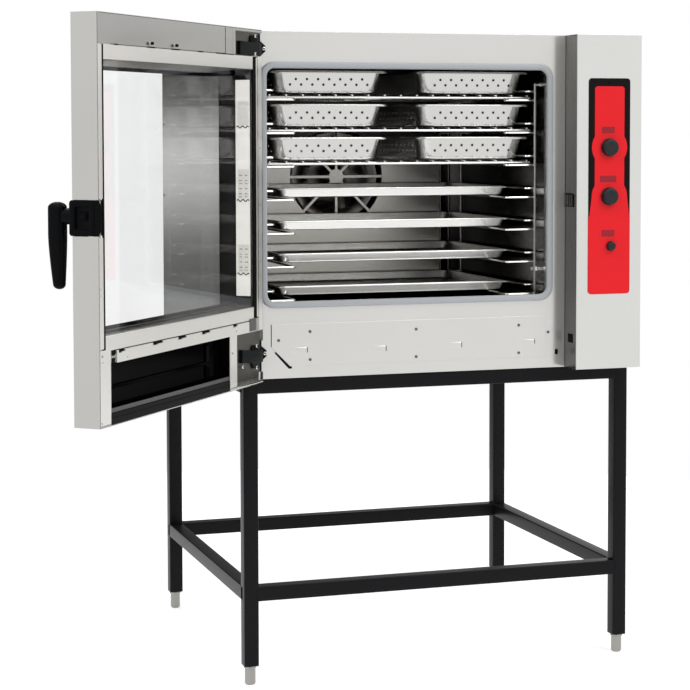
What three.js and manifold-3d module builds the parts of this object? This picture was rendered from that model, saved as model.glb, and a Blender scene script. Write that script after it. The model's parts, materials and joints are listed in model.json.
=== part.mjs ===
// A full-size combi oven for seven rows of pans, on an open stand of square tube.
// Millimetres, +Z up. X runs right from the body's left side, Y runs from the front sheet
// into the oven, Z runs up from the floor. The door stands open, as it does for loading.

import * as THREE from "three";
import { mergeVertices } from "three/addons/utils/BufferGeometryUtils.js";
import Module from "manifold-3d";

const wasm = await Module();
wasm.setup();

// Clearances
const gap = 0.3; // between pieces that are cut by, or rest on, a neighbour
const overrun = 5; // how far a cutting solid runs past the face that it cuts
const weld = 0.5; // how deep joined bars and blades run into each other

// Hotel pans, two on each shelf: the oven is built round them
const panWidth = 325;
const panLength = 530;
const panDepth = 61;
const panSheet = 1;
const panRim = 12;
const panLip = 6;
const panTaper = 8;
const panFootRadius = 9;
const panRimCorner = 24;
const panBetween = 72.5;
const panLeftRoom = 31.75; // rim to the mouth's edge
const panRightRoom = 12.75;
const panSetback = 75;
const panHeadRoom = 7.4; // rim to the wires above
const panSpread = panWidth + panBetween;

// Racks and wire shelves
const levelCount = 7;
const shelfLevels = 3; // the top levels carry wire shelves, the others sheet pans
const rackWire = 6;
const shelfBar = 6.5;
const shelfWire = 5;
const levelPitch = shelfBar + shelfWire + panDepth + panHeadRoom + rackWire;
const lowestLevel = 0.2; // first level above the sill
const rackWallGap = 13; // upright to the cavity wall
const rackFront = 56;
const rackShort = 4; // the rack is this much shallower than a shelf
const supportReach = 84; // how far the lower wires reach in from the upright
const retainerReach = 12; // the same for the upper wires
const retainerRise = 25;
const rackHead = 42; // upright above the top level
const rackFootPin = 66; // lower wall pins above the lowest level
const shelfSideRoom = 13; // shelf to the mouth's edge
const shelfEnds = 13; // shelf beyond a pan, front and back
const shelfWirePitch = 44.5;
const shelfFrontRoom = 8; // shelf in front of a pan
const shelfFront = panSetback - shelfFrontRoom;

// Mouth, seal and cavity
const mouthWidth = panLeftRoom + panWidth + panSpread + panRightRoom;
const mouthHeadRoom = 2.4; // over the top pans
const mouthLift = 196; // sill above the body's bottom
const mouthInset = 62; // left edge of the mouth from the body's left side
const mouthMargin = 54.5; // mouth to the control column
const mouthCorner = 21;
const sealWidth = 17;
const sealProud = 9;
const sealCrown = 4; // rounding of the seal's face
const cavitySideMargin = 9; // cavity wall outside the mouth's edge
const cavityFloorDrop = 24;
const cavityHeadroom = 28;
const cavitySheet = 1.2;
const cavityCorner = 12;
const fanBay = 109.5; // baffle to the cavity's back
const motorBay = 205.5; // behind the cavity

// Body
const sheet = 1.5; // outer sheet
const coverLip = 16; // turned edge of the top cover and of the base pan
const columnWidth = 185.5; // control column at the right
const columnReach = 72.4; // how far the column stands in front of the front sheet
const headPlate = 93; // front sheet above the mouth

// Stand
const tube = 38.1; // outside of the square tube
const tubeWall = 2;
const standHeight = 787;
const standSetback = 3.5; // front of the stand behind the front sheet
const standBackInset = 45.1; // its back legs inside the body's back
const legBottom = 50;
const legPlug = 4; // plate that closes the leg and takes the foot's thread
const lowerRailTop = 254.5;

// Feet
const footRadius = 14;
const footTipRadius = 11;
const footChamfer = 4;
const footCollarRadius = 16.5;
const footCollar = 6;
const footStemRadius = 6;
const footStem = 22; // reach of the stem into the leg

// Lower front plate
const apronProud = 1.5;
const apronLeft = 73;
const apronMargin = 56.5; // its right end to the control column
const apronFoot = 30.5; // above the body's bottom
const apronHeight = 108;
const apronCornerRise = 35; // slanted lower left corner
const apronCornerRun = 45;

// Sheet pans
const trayLeftRoom = 76; // pan to the mouth's edge
const trayRightRoom = 36;
const trayFrontRoom = 98; // pan behind the shelves' front edge
const trayBackRoom = 3;
const trayDepth = 25;
const traySheet = 1.2;
const trayRim = 7;
const trayLip = 5;
const trayTaper = 5;
const trayFootRadius = 5;
const trayRimCorner = 22;

// Fan, heater and baffle
const fanRadius = 130;
const fanLift = 5.75; // fan centre above the mouth's middle
const fanBack = 26; // back plate to the cavity's back wall
const fanPlate = 2;
const fanWidth = 62;
const fanBlades = 12;
const fanBladeRoot = 74;
const fanBladeLean = 28; // degrees
const fanHubRadius = 24;
const shaftRadius = 7;
const shaftReach = 45; // shaft beyond the cavity's back
const runningGap = 0.6;
const heaterRadius = 160;
const heaterTube = 4.3;
const heaterTurns = 3;
const heaterPitch = 17;
const heaterTail = 30;
const baffleBackRoom = 7; // behind the shelves
const baffleSideRoom = 65.5; // baffle to the mouth's edge
const baffleReturn = 22;
const baffleMouthRadius = 140;
const baffleHubRadius = 22;
const baffleSpoke = 7;
const baffleSpokes = 8;
const motorRadius = 62;
const motorLength = 130;
const motorFlangeRadius = 80;
const motorFlange = 4;
const motorNeckRadius = 30;
const motorNeck = 16;

// Drain at the back
const drainRadius = 25;
const drainWall = 2;
const drainReach = 28;
const drainRise = 46;
const drainInside = 60;

// Louvres in the back cover
const louvreCount = 7;
const louvreWidth = 150;
const louvreHeight = 7;
const louvrePitch = 26;
const louvreInset = 55;
const louvreRise = 130;

// Control panel on the column
const panelMargin = 33.4; // panel to each side of the column
const panelRise = 198; // above the body's bottom
const panelDrop = 114.5; // below its top
const panelThick = 2;
const panelCorner = 9;
const overlayThick = 0.6;
const overlayTopInset = 21;
const overlayFootInset = 3.5;
const overlayNeck = 42.5; // half width between the knobs
const overlayBulge = 51; // radius of the swelling round a large knob
const overlaySideInset = 2; // from the panel's edge at the foot
const overlayCorner = 8;
const overlayFlareRise = 205; // foot of the flare above the panel's foot
// Each knob's drop below the panel's top, its shift from the middle line, and its size
const knobSizes = [
  { name: "knob_mode", drop: 181, shift: -1.3, radius: 24, height: 15.5 },
  { name: "knob_temperature", drop: 309.5, shift: -1.3, radius: 24, height: 15.5 },
  { name: "knob_time", drop: 440.5, shift: 3.6, radius: 12.8, height: 12 },
];
const knobCrownShare = 0.82; // crown radius over skirt radius
const knobSkirt = 3;
const knobStemRadius = 3;
const knobStem = 16; // behind the knob
const knobRunningGap = 0.5;
const knobMark = 1.2; // half width of the pointer groove
const knobMarkDepth = 0.8;

// Control board behind the panel
const boardStandoff = 22;
const boardThick = 1.6;
const boardMargin = 14; // inside the panel's outline
const postRadius = 4;
const encoderSize = 14;
const encoderDepth = 13;

// Door, closed sizes
const doorThick = 62.7;
const doorSealGap = 0.3; // inner face to the seal
const doorRightGap = 5.5; // free end to the column
const doorUnderhang = 3; // below the body's bottom
const doorOverhang = 0.5; // above the body's top
const doorSheet = 1.5;
const doorOpen = 129.6; // degrees, at the stop
const hingeX = 32;
const hingeY = -24;
const hingeEdge = 3; // door's edge beyond the hinge axis
const glassLeft = 64; // inner window from the body's left side
const freeFlange = 10.4; // door's inner face beyond the window
const paneShadow = 3.6; // open line between that flange and the pane
const glassSill = 166; // inner window above the door's bottom
const glassHead = 68; // inner window below the door's top
const barHeight = 31; // light bars at the top and bottom of the pane
const hingeStile = 24;
const freeStile = 4;
const barThick = 3.4;
const innerPane = 4;
const outerPane = 6;
const outerInset = { left: 20, right: 36, foot: 40, head: 51 }; // window inside the inner pane
const paneLap = 8;
const lowerWindowLeft = 233;
const lowerWindowMargin = 50; // its right end to the door's free end
const lowerWindowFoot = 8;
const lowerWindowHead = 136;
const lowerPanelDepth = 26;
const hingePocketRight = 190;
const hingePocketDepth = 9;
const lowerPocketHead = 133;
const upperPocketFoot = 66;

// Drip strip under the pane
const stripLeft = 90;
const stripMargin = 70; // its right end to the door's free end
const stripFoot = 137;
const stripHeight = 25;
const stripThick = 4;
const stripNotches = [117, 278, 402, 527, 700]; // from the strip's left end
const stripNotchLength = 19;
const stripNotchDepth = 3;

// Hinges
const knuckleRadius = 8;
const knuckleTall = 78;
const armKnuckleTall = 30;
const pinRadius = 4;
const leafThick = 5;
const leafApex = 59; // leaf's tip from the body's left side
const leafHalfTall = 24;
const leafTip = 7;
const leafShift = 3; // leaf's middle above the hinge's
const armTall = 33;
const armReach = 136; // from the hinge axis
const armThick = 7;
const armFootReach = 62;
const bottomHingeRise = 63.5;
const topHingeDrop = 47.5; // below the body's top

// Latch and lever
const housingFoot = 409; // above the door's bottom
const housingTall = 77;
const housingWidth = 40;
const housingEnd = 1.5; // beyond the door's free end
const housingProud = 8; // beyond the outer face
const recessInset = 14;
const recessDepth = 1.2;
const leverUp = 41.5; // spindle above the housing's foot
const leverInset = 20; // spindle from the housing's end
const spindleRadius = 9;
const spindleLength = 30;
const gripStandoff = 27; // grip to the door's outer face
const gripHeadThick = 39;
const gripHeadWidth = 30;
const gripFootThick = 26;
const gripFootWidth = 22;
const gripFootShift = 5;
const gripLength = 187;
const gripAboveSpindle = 30.5;
const leverNeckRadius = 20;
const gripCorner = 8;
const tongueWidth = 3;
const tongueDepth = 14;
const tongueProud = 7.5;
const tongueBevel = 15;
const tongueTravel = 2.5;
const tongueEnd = 1; // tongue to the housing's end
const keeperThick = 2;
const keeperTall = 34;
const keeperDepth = 54;

// Sizes and places worked out from the ones above
const shelfWidth = mouthWidth - shelfSideRoom * 2;
const shelfDepth = panLength + shelfEnds * 2;
const rackDepth = shelfDepth - rackShort;
const baffleY = shelfFront + shelfDepth + baffleBackRoom;
const baffleWidth = mouthWidth - baffleSideRoom * 2;
const mouthHeight =
  lowestLevel + (levelCount - 1) * levelPitch + shelfBar + shelfWire + panDepth + mouthHeadRoom;
const bodyWidth = mouthInset + mouthWidth + mouthMargin + columnWidth;
const bodyHeight = mouthLift + mouthHeight + headPlate;
const bodyDepth = baffleY + fanBay + motorBay;
const standDepth = bodyDepth - standSetback - standBackInset;
const panelWidth = columnWidth - panelMargin * 2;
const panelHeight = bodyHeight - panelRise - panelDrop;
const bodyBottom = standHeight;
const bodyTop = bodyBottom + bodyHeight;
const fasciaRight = bodyWidth - columnWidth;
const mouth = {
  left: mouthInset,
  right: mouthInset + mouthWidth,
  bottom: bodyBottom + mouthLift,
  top: bodyBottom + mouthLift + mouthHeight,
};
const cavity = {
  left: mouth.left - cavitySideMargin,
  right: mouth.right + cavitySideMargin,
  floor: mouth.bottom - cavityFloorDrop,
  ceiling: mouth.top + cavityHeadroom,
  back: baffleY + fanBay,
};
const middleX = (mouth.left + mouth.right) / 2;
const fanZ = (mouth.bottom + mouth.top) / 2 + fanLift;
const levelZ = (row) => mouth.bottom + lowestLevel + row * levelPitch;
const door = {
  left: hingeX + hingeEdge,
  right: fasciaRight - doorRightGap,
  inner: -sealProud - doorSealGap,
  bottom: bodyBottom - doorUnderhang,
  top: bodyTop + doorOverhang,
};
door.outer = door.inner - doorThick;

const CURVE = 3; // six segments in a quarter round
const ROUND = 16; // sides of a round piece

// Solids from three.js geometry
function solid(geometry) {
  const bare = new THREE.BufferGeometry();
  bare.setAttribute("position", geometry.getAttribute("position"));
  if (geometry.index) {
    bare.setIndex(geometry.index);
  }
  const merged = mergeVertices(bare);
  const mesh = new wasm.Mesh({
    numProp: 3,
    vertProperties: new Float32Array(merged.attributes.position.array),
    triVerts: new Uint32Array(merged.index.array),
  });
  return new wasm.Manifold(mesh);
}

function block(x0, x1, y0, y1, z0, z1) {
  const box = new THREE.BoxGeometry(x1 - x0, y1 - y0, z1 - z0);
  return solid(box.translate((x0 + x1) / 2, (y0 + y1) / 2, (z0 + z1) / 2));
}

// A round bar along Z, from z0 to z1, wider or narrower at its top if a second radius is given.
function post(x, y, z0, z1, radius, topRadius = radius, sides = ROUND) {
  const bar = new THREE.CylinderGeometry(topRadius, radius, z1 - z0, sides);
  return solid(bar.rotateX(Math.PI / 2).translate(x, y, (z0 + z1) / 2));
}

// A round bar along Y, from y0 to y1.
function bar(x, z, y0, y1, radius, backRadius = radius, sides = ROUND) {
  const round = new THREE.CylinderGeometry(backRadius, radius, y1 - y0, sides);
  return solid(round.translate(x, (y0 + y1) / 2, z));
}

// A flat outline in X and Z, drawn as a shape, made solid from y0 to y1.
function plate(shape, y0, y1, curveSegments = CURVE) {
  const slab = new THREE.ExtrudeGeometry(shape, {
    depth: y1 - y0,
    bevelEnabled: false,
    curveSegments,
  });
  return solid(slab.rotateX(Math.PI / 2).translate(0, y1, 0));
}

function roundedOutline(x0, x1, z0, z1, radius) {
  const outline = new THREE.Shape();
  outline.moveTo(x0 + radius, z0);
  outline.lineTo(x1 - radius, z0);
  outline.absarc(x1 - radius, z0 + radius, radius, -Math.PI / 2, 0);
  outline.lineTo(x1, z1 - radius);
  outline.absarc(x1 - radius, z1 - radius, radius, 0, Math.PI / 2);
  outline.lineTo(x0 + radius, z1);
  outline.absarc(x0 + radius, z1 - radius, radius, Math.PI / 2, Math.PI);
  outline.lineTo(x0, z0 + radius);
  outline.absarc(x0 + radius, z0 + radius, radius, Math.PI, Math.PI * 1.5);
  return outline;
}

function polygon(points) {
  return new THREE.Shape(points.map(([x, z]) => new THREE.Vector2(x, z)));
}

function joined(solids) {
  return solids.reduce((sum, next) => sum.add(next));
}

// A closed skin through rings that all have as many points, with flat ends.
function skin(rings) {
  const count = rings[0].length;
  const points = rings.flat();
  const index = [];
  for (let ring = 0; ring + 1 < rings.length; ring += 1) {
    for (let i = 0; i < count; i += 1) {
      const next = (i + 1) % count;
      const here = ring * count;
      const above = here + count;
      index.push(here + i, here + next, above + next);
      index.push(here + i, above + next, above + i);
    }
  }
  const last = (rings.length - 1) * count;
  for (let i = 1; i + 1 < count; i += 1) {
    index.push(0, i + 1, i);
    index.push(last, last + i, last + i + 1);
  }
  const geometry = new THREE.BufferGeometry().setFromPoints(points);
  geometry.setIndex(index);
  return solid(geometry);
}

// One level ring of a rounded rectangle, anticlockwise from above.
function ring(x0, x1, y0, y1, z, radius, steps = 3) {
  const corners = [
    [x1 - radius, y1 - radius, 0],
    [x0 + radius, y1 - radius, Math.PI / 2],
    [x0 + radius, y0 + radius, Math.PI],
    [x1 - radius, y0 + radius, Math.PI * 1.5],
  ];
  return corners.flatMap(([x, y, from]) =>
    Array.from({ length: steps + 1 }, (_, i) => {
      const angle = from + (i / steps) * (Math.PI / 2);
      return new THREE.Vector3(x + radius * Math.cos(angle), y + radius * Math.sin(angle), z);
    }),
  );
}

// A pressed pan: a profile of [inset from the rim's edge, height] is carried round the rim.
function pressedPan(x, y, z, width, length, pan) {
  const wallHead = pan.rim;
  const wallFoot = pan.rim + pan.taper;
  const foot = wallFoot + pan.footRadius;
  const profile = [
    [foot, 0],
    [wallFoot, pan.footRadius],
    [wallHead, pan.depth - pan.sheet],
    [pan.sheet, pan.depth - pan.sheet],
    [pan.sheet, pan.depth - pan.lip],
    [0, pan.depth - pan.lip],
    [0, pan.depth],
    [wallHead + pan.sheet, pan.depth],
    [wallFoot + pan.sheet, pan.footRadius],
    [foot, pan.sheet],
  ];
  return skin(
    profile.map(([inset, rise]) =>
      ring(
        x - width / 2 + inset,
        x + width / 2 - inset,
        y + inset,
        y + length - inset,
        z + rise,
        Math.max(pan.rimCorner - inset / 2, pan.sheet),
      ),
    ),
  );
}

// The assembly
const oven = new THREE.Group();

function metal(color, roughness, metalness = 1) {
  return { color, roughness, metalness };
}
const brushedSteel = metal(0xc8c5bd, 0.36);
const brightSteel = metal(0xd8d6d0, 0.24);
const darkSteel = metal(0x55534f, 0.5);
const blackPaint = metal(0x17171a, 0.35, 0.1);
const blackPlastic = metal(0x101114, 0.45, 0);
const sealRubber = metal(0xc3c8cf, 0.55, 0);
const redPanel = metal(0xe2262e, 0.3, 0);
const paneGlass = metal(0xbfd0d2, 0.05, 0);
const boardGreen = metal(0x1f5a3a, 0.6, 0);
const motorGrey = metal(0x3c4046, 0.5, 0.4);

function place(name, body, look, parent = oven) {
  const out = body.getMesh();
  const geometry = new THREE.BufferGeometry();
  geometry.setAttribute("position", new THREE.BufferAttribute(out.vertProperties, 3));
  geometry.setIndex(new THREE.BufferAttribute(out.triVerts, 1));
  geometry.computeVertexNormals();
  const mesh = new THREE.Mesh(geometry, new THREE.MeshStandardMaterial(look));
  mesh.name = name;
  parent.add(mesh);
  return mesh;
}

// Stand: two welded side frames, four cross rails, four feet
const standBack = standSetback + standDepth;
const railBottom = lowerRailTop - tube;
const topRailBottom = standHeight - tube;

// A hollow tube is its outside less its bore, and each bore is given with its own ends.
function sideFrame(left) {
  const right = left + tube;
  const legs = [standSetback, standBack - tube].map((y) => ({
    outside: block(left, right, y, y + tube, legBottom, standHeight),
    bore: block(
      left + tubeWall,
      right - tubeWall,
      y + tubeWall,
      y + tube - tubeWall,
      legBottom + legPlug,
      standHeight + overrun,
    ),
    thread: post(left + tube / 2, y + tube / 2, legBottom - overrun, legBottom + legPlug + overrun,
      footStemRadius + gap),
  }));
  const rails = [railBottom, topRailBottom].map((z) => ({
    outside: block(left, right, standSetback, standBack, z, z + tube),
    bore: block(
      left + tubeWall,
      right - tubeWall,
      standSetback + tube / 2,
      standBack - tube / 2,
      z + tubeWall,
      z + tube - tubeWall,
    ),
  }));
  const members = [...legs, ...rails];
  return joined(members.map((member) => member.outside))
    .subtract(joined(members.map((member) => member.bore)))
    .subtract(joined(legs.map((leg) => leg.thread)));
}
place("stand_side_left", sideFrame(0), blackPaint);
place("stand_side_right", sideFrame(bodyWidth - tube), blackPaint);

function crossRail(y, z) {
  const x0 = tube;
  const x1 = bodyWidth - tube;
  const bore = block(
    x0 - overrun,
    x1 + overrun,
    y + tubeWall,
    y + tube - tubeWall,
    z + tubeWall,
    z + tube - tubeWall,
  );
  return block(x0, x1, y, y + tube, z, z + tube).subtract(bore);
}
place("stand_rail_top_front", crossRail(standSetback, topRailBottom), blackPaint);
place("stand_rail_top_back", crossRail(standBack - tube, topRailBottom), blackPaint);
place("stand_rail_lower_front", crossRail(standSetback, railBottom), blackPaint);
place("stand_rail_lower_back", crossRail(standBack - tube, railBottom), blackPaint);

function foot(x, y) {
  const collarTop = legBottom - gap;
  return joined([
    post(x, y, 0, footChamfer, footTipRadius, footRadius),
    post(x, y, footChamfer - weld / 2, collarTop - footCollar, footRadius),
    post(x, y, collarTop - footCollar - weld, collarTop, footCollarRadius),
    post(x, y, collarTop - weld, collarTop + footStem, footStemRadius),
  ]);
}
const footX = { left: tube / 2, right: bodyWidth - tube / 2 };
const footY = { front: standSetback + tube / 2, back: standBack - tube / 2 };
for (const [depthName, y] of Object.entries(footY)) {
  for (const [sideName, x] of Object.entries(footX)) {
    place(`foot_${depthName}_${sideName}`, foot(x, y), brightSteel);
  }
}

// Body shell
const shell = { left: sheet, right: bodyWidth - sheet, front: sheet, back: bodyDepth - sheet };

function lippedTray(z0, z1, open) {
  const tray = block(shell.left, shell.right, shell.front, shell.back, z0, z1);
  const [low, high] = open === "up" ? [z0 + sheet, z1 + overrun] : [z0 - overrun, z1 - sheet];
  const inside = block(
    shell.left + sheet,
    shell.right - sheet,
    shell.front + sheet,
    shell.back - sheet,
    low,
    high,
  );
  return tray.subtract(inside);
}
const drainX = middleX;
const drainZ = bodyBottom + drainRise;
place("base_pan", lippedTray(bodyBottom, bodyBottom + coverLip, "up"), brushedSteel);
place("top_cover", lippedTray(bodyTop - coverLip, bodyTop, "down"), brushedSteel);
place("side_left", block(0, sheet, sheet, shell.back, bodyBottom, bodyTop), brushedSteel);
place(
  "side_right",
  block(shell.right, bodyWidth, sheet, shell.back, bodyBottom, bodyTop),
  brushedSteel,
);

function backCover() {
  const cuts = [];
  for (let row = 0; row < louvreCount; row += 1) {
    const z = bodyBottom + louvreRise + row * louvrePitch;
    const x = bodyWidth - louvreInset - louvreWidth;
    cuts.push(
      block(x, x + louvreWidth, shell.back - overrun, bodyDepth + overrun, z, z + louvreHeight),
    );
  }
  cuts.push(bar(drainX, drainZ, shell.back - overrun, bodyDepth + overrun, drainRadius + gap));
  return block(0, bodyWidth, shell.back, bodyDepth, bodyBottom, bodyTop).subtract(joined(cuts));
}
place("back_cover", backCover(), brushedSteel);

function drainPipe() {
  const y0 = bodyDepth - drainInside;
  const y1 = bodyDepth + drainReach;
  const bore = bar(drainX, drainZ, y0 - overrun, y1 + overrun, drainRadius - drainWall);
  return bar(drainX, drainZ, y0, y1, drainRadius).subtract(bore);
}
place("drain_pipe", drainPipe(), darkSteel);

const mouthOutline = roundedOutline(mouth.left, mouth.right, mouth.bottom, mouth.top, mouthCorner);
place(
  "fascia",
  block(0, fasciaRight, 0, sheet, bodyBottom, bodyTop).subtract(
    plate(mouthOutline, -overrun, sheet + overrun),
  ),
  brushedSteel,
);

function cavityLiner() {
  const outside = plate(
    roundedOutline(cavity.left, cavity.right, cavity.floor, cavity.ceiling, cavityCorner),
    sheet,
    cavity.back,
  );
  const inside = plate(
    roundedOutline(
      cavity.left + cavitySheet,
      cavity.right - cavitySheet,
      cavity.floor + cavitySheet,
      cavity.ceiling - cavitySheet,
      cavityCorner - cavitySheet,
    ),
    sheet - overrun,
    cavity.back - cavitySheet,
  );
  const shaftHole = bar(
    middleX,
    fanZ,
    cavity.back - cavitySheet - overrun,
    cavity.back + overrun,
    shaftRadius + runningGap,
  );
  const tails = heaterTails().map((x) =>
    bar(x, fanZ, cavity.back - cavitySheet - overrun, cavity.back + overrun, heaterTube + gap),
  );
  return outside.subtract(inside).subtract(joined([shaftHole, ...tails]));
}
function heaterTails() {
  return [middleX - heaterRadius, middleX + heaterRadius];
}
place("cavity_liner", cavityLiner(), darkSteel);

// The seal's section is a flat strip with rounded front edges, carried round the mouth.
function doorSeal() {
  const at = (grow, y0, y1) =>
    plate(
      roundedOutline(
        mouth.left - grow,
        mouth.right + grow,
        mouth.bottom - grow,
        mouth.top + grow,
        mouthCorner + grow,
      ),
      y0,
      y1,
    );
  const step = sealProud - sealCrown;
  const base = at(sealWidth, -step, 0).subtract(at(0, -step - overrun, overrun));
  const crown = at(sealWidth - sealCrown, -sealProud, -step + weld).subtract(
    at(sealCrown, -sealProud - overrun, overrun),
  );
  return base.add(crown);
}
place("door_seal", doorSeal(), sealRubber);

function apron() {
  const foot = bodyBottom + apronFoot;
  const apronRight = fasciaRight - apronMargin;
  return plate(
    polygon([
      [apronLeft, foot + apronHeight],
      [apronLeft, foot + apronCornerRise],
      [apronLeft + apronCornerRun, foot],
      [apronRight, foot],
      [apronRight, foot + apronHeight],
    ].reverse()),
    -apronProud,
    0,
  );
}
place("lower_front_plate", apron(), brushedSteel);

// Control column and panel
const columnFront = -columnReach;
const panelX = (fasciaRight + bodyWidth) / 2;
const panelFoot = bodyBottom + panelRise;
const panelTop = panelFoot + panelHeight;
const knobs = knobSizes.map((size) => ({
  ...size,
  x: panelX + size.shift,
  z: panelTop - size.drop,
}));
const panelFace = columnFront - panelThick;
const overlayFace = panelFace - overlayThick;

function stemHoles(y0, y1) {
  const holes = knobs.map(({ x, z }) => bar(x, z, y0, y1, knobStemRadius + knobRunningGap));
  return joined(holes);
}

function controlColumn() {
  const outside = block(fasciaRight, bodyWidth, columnFront, sheet, bodyBottom, bodyTop);
  const inside = block(
    fasciaRight + sheet,
    shell.right,
    columnFront + sheet,
    sheet + overrun,
    bodyBottom + sheet,
    bodyTop - sheet,
  );
  return outside
    .subtract(inside)
    .subtract(stemHoles(columnFront - overrun, columnFront + sheet + overrun));
}
place("control_column", controlColumn(), brushedSteel);

place(
  "panel_plate",
  plate(
    roundedOutline(
      panelX - panelWidth / 2,
      panelX + panelWidth / 2,
      panelFoot,
      panelFoot + panelHeight,
      panelCorner,
    ),
    panelFace,
    columnFront,
  ).subtract(stemHoles(panelFace - overrun, columnFront + overrun)),
  blackPlastic,
);

// The red face has a waist between its large knobs and widens below them.
function panelOverlay() {
  const foot = panelFoot + overlayFootInset;
  const top = panelFoot + panelHeight - overlayTopInset;
  const halfRise = Math.sqrt(overlayBulge ** 2 - overlayNeck ** 2);
  const swing = Math.asin(halfRise / overlayBulge);
  const [upper, middle] = knobs;
  const flareZ = panelFoot + overlayFlareRise;
  const overlayFlare = panelWidth / 2 - overlaySideInset;
  const r = overlayCorner;
  const face = new THREE.Shape();
  face.moveTo(panelX - overlayFlare + r, foot);
  face.lineTo(panelX + overlayFlare - r, foot);
  face.absarc(panelX + overlayFlare - r, foot + r, r, -Math.PI / 2, 0);
  face.lineTo(panelX + overlayFlare, flareZ);
  face.lineTo(panelX + overlayBulge, middle.z);
  face.absarc(panelX, middle.z, overlayBulge, 0, swing);
  face.absarc(panelX, upper.z, overlayBulge, -swing, swing);
  face.lineTo(panelX + overlayNeck, top - r);
  face.absarc(panelX + overlayNeck - r, top - r, r, 0, Math.PI / 2);
  face.lineTo(panelX - overlayNeck + r, top);
  face.absarc(panelX - overlayNeck + r, top - r, r, Math.PI / 2, Math.PI);
  face.absarc(panelX, upper.z, overlayBulge, Math.PI - swing, Math.PI + swing);
  face.absarc(panelX, middle.z, overlayBulge, Math.PI - swing, Math.PI);
  face.lineTo(panelX - overlayFlare, flareZ);
  face.lineTo(panelX - overlayFlare, foot + r);
  face.absarc(panelX - overlayFlare + r, foot + r, r, Math.PI, Math.PI * 1.5);
  return plate(face, overlayFace, panelFace).subtract(
    stemHoles(overlayFace - overrun, panelFace + overrun),
  );
}
place("panel_face", panelOverlay(), redPanel);

function knob({ x, z, radius, height }) {
  const back = overlayFace - gap;
  const skirtFront = back - knobSkirt;
  const front = back - height;
  const crown = radius * knobCrownShare;
  const mark = block(x - knobMark, x + knobMark, front - overrun, front + knobMarkDepth, z, z + radius);
  return joined([
    bar(x, z, skirtFront, back, radius),
    bar(x, z, front, skirtFront + weld, crown, radius),
    bar(x, z, back - weld, back + knobStem, knobStemRadius),
  ]).subtract(mark);
}
knobs.forEach((size) => place(size.name, knob(size), blackPlastic));

function controlBoard() {
  const inner = columnFront + sheet;
  const back = inner + boardStandoff;
  const x0 = panelX - panelWidth / 2 + boardMargin;
  const x1 = panelX + panelWidth / 2 - boardMargin;
  const z0 = panelFoot + boardMargin;
  const z1 = panelFoot + panelHeight - boardMargin;
  const board = block(x0, x1, back, back + boardThick, z0, z1);
  const posts = [x0 + postRadius * 2, x1 - postRadius * 2].flatMap((x) =>
    [z0 + postRadius * 2, z1 - postRadius * 2].map((z) => bar(x, z, inner, back + weld, postRadius)),
  );
  const encoders = knobs.map(({ x, z }) =>
    block(
      x - encoderSize / 2,
      x + encoderSize / 2,
      back - encoderDepth,
      back + weld,
      z - encoderSize / 2,
      z + encoderSize / 2,
    ),
  );
  const stemEnd = overlayFace - gap + knobStem;
  const bores = stemHoles(inner - overrun, stemEnd + knobRunningGap);
  return joined([board, ...posts, ...encoders]).subtract(bores);
}
place("control_board", controlBoard(), boardGreen);

// Fan, motor, heater and baffle behind the pans
const fanBackY = cavity.back - cavitySheet - fanBack;

function fan() {
  const front = fanBackY - fanWidth;
  const blades = Array.from({ length: fanBlades }, (_, i) => {
    const blade = new THREE.BoxGeometry(fanRadius - fanBladeRoot, fanWidth, fanPlate);
    blade.rotateY(THREE.MathUtils.degToRad(fanBladeLean));
    blade.translate((fanRadius + fanBladeRoot) / 2 - fanPlate, 0, 0);
    blade.rotateY((i / fanBlades) * Math.PI * 2);
    return solid(blade.translate(middleX, (front + fanBackY) / 2, fanZ));
  });
  const frontRing = bar(middleX, fanZ, front - fanPlate, front + weld, fanRadius).subtract(
    bar(middleX, fanZ, front - overrun, front + overrun, fanBladeRoot + fanHubRadius),
  );
  return joined([
    bar(middleX, fanZ, fanBackY - weld, fanBackY + fanPlate, fanRadius),
    bar(middleX, fanZ, front + fanHubRadius, fanBackY, fanHubRadius),
    bar(middleX, fanZ, fanBackY, cavity.back + shaftReach, shaftRadius),
    frontRing,
    ...blades,
  ]);
}
place("fan", fan(), darkSteel);

function fanMotor() {
  const y0 = cavity.back;
  const bodyFront = y0 + motorNeck;
  return joined([
    bar(middleX, fanZ, y0, y0 + motorFlange, motorFlangeRadius),
    bar(middleX, fanZ, y0, bodyFront + weld, motorNeckRadius),
    bar(middleX, fanZ, bodyFront, bodyFront + motorLength, motorRadius),
  ]).subtract(
    bar(middleX, fanZ, y0 - overrun, y0 + shaftReach + runningGap, shaftRadius + runningGap),
  );
}
place("fan_motor", fanMotor(), motorGrey);

// The heater is one tube: straight in through the back wall, round the fan, and out again.
class HeaterPath extends THREE.Curve {
  getPoint(t, target = new THREE.Vector3()) {
    const turn = Math.PI * (2 * heaterTurns - 1);
    const loop = turn * heaterRadius;
    const front = cavity.back - cavitySheet - fanBack - heaterTube * 2;
    const run = cavity.back + heaterTail - front;
    const rise = heaterPitch * (heaterTurns - 1);
    const along = t * (run * 2 + loop + rise);
    if (along < run) {
      return target.set(middleX - heaterRadius, cavity.back + heaterTail - along, fanZ);
    }
    if (along > run + loop) {
      const left = run * 2 + loop + rise - along;
      return target.set(middleX + heaterRadius, cavity.back + heaterTail - left, fanZ);
    }
    const share = (along - run) / loop;
    const angle = Math.PI + share * turn;
    return target.set(
      middleX + heaterRadius * Math.cos(angle),
      front - share * rise,
      fanZ + heaterRadius * Math.sin(angle),
    );
  }
}

function heater() {
  const round = new THREE.Shape().absarc(0, 0, heaterTube, 0, Math.PI * 2);
  const tubing = new THREE.ExtrudeGeometry(round, {
    extrudePath: new HeaterPath(),
    steps: 72,
    curveSegments: 3,
    bevelEnabled: false,
  });
  return solid(tubing);
}
place("heater", heater(), darkSteel);

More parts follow.
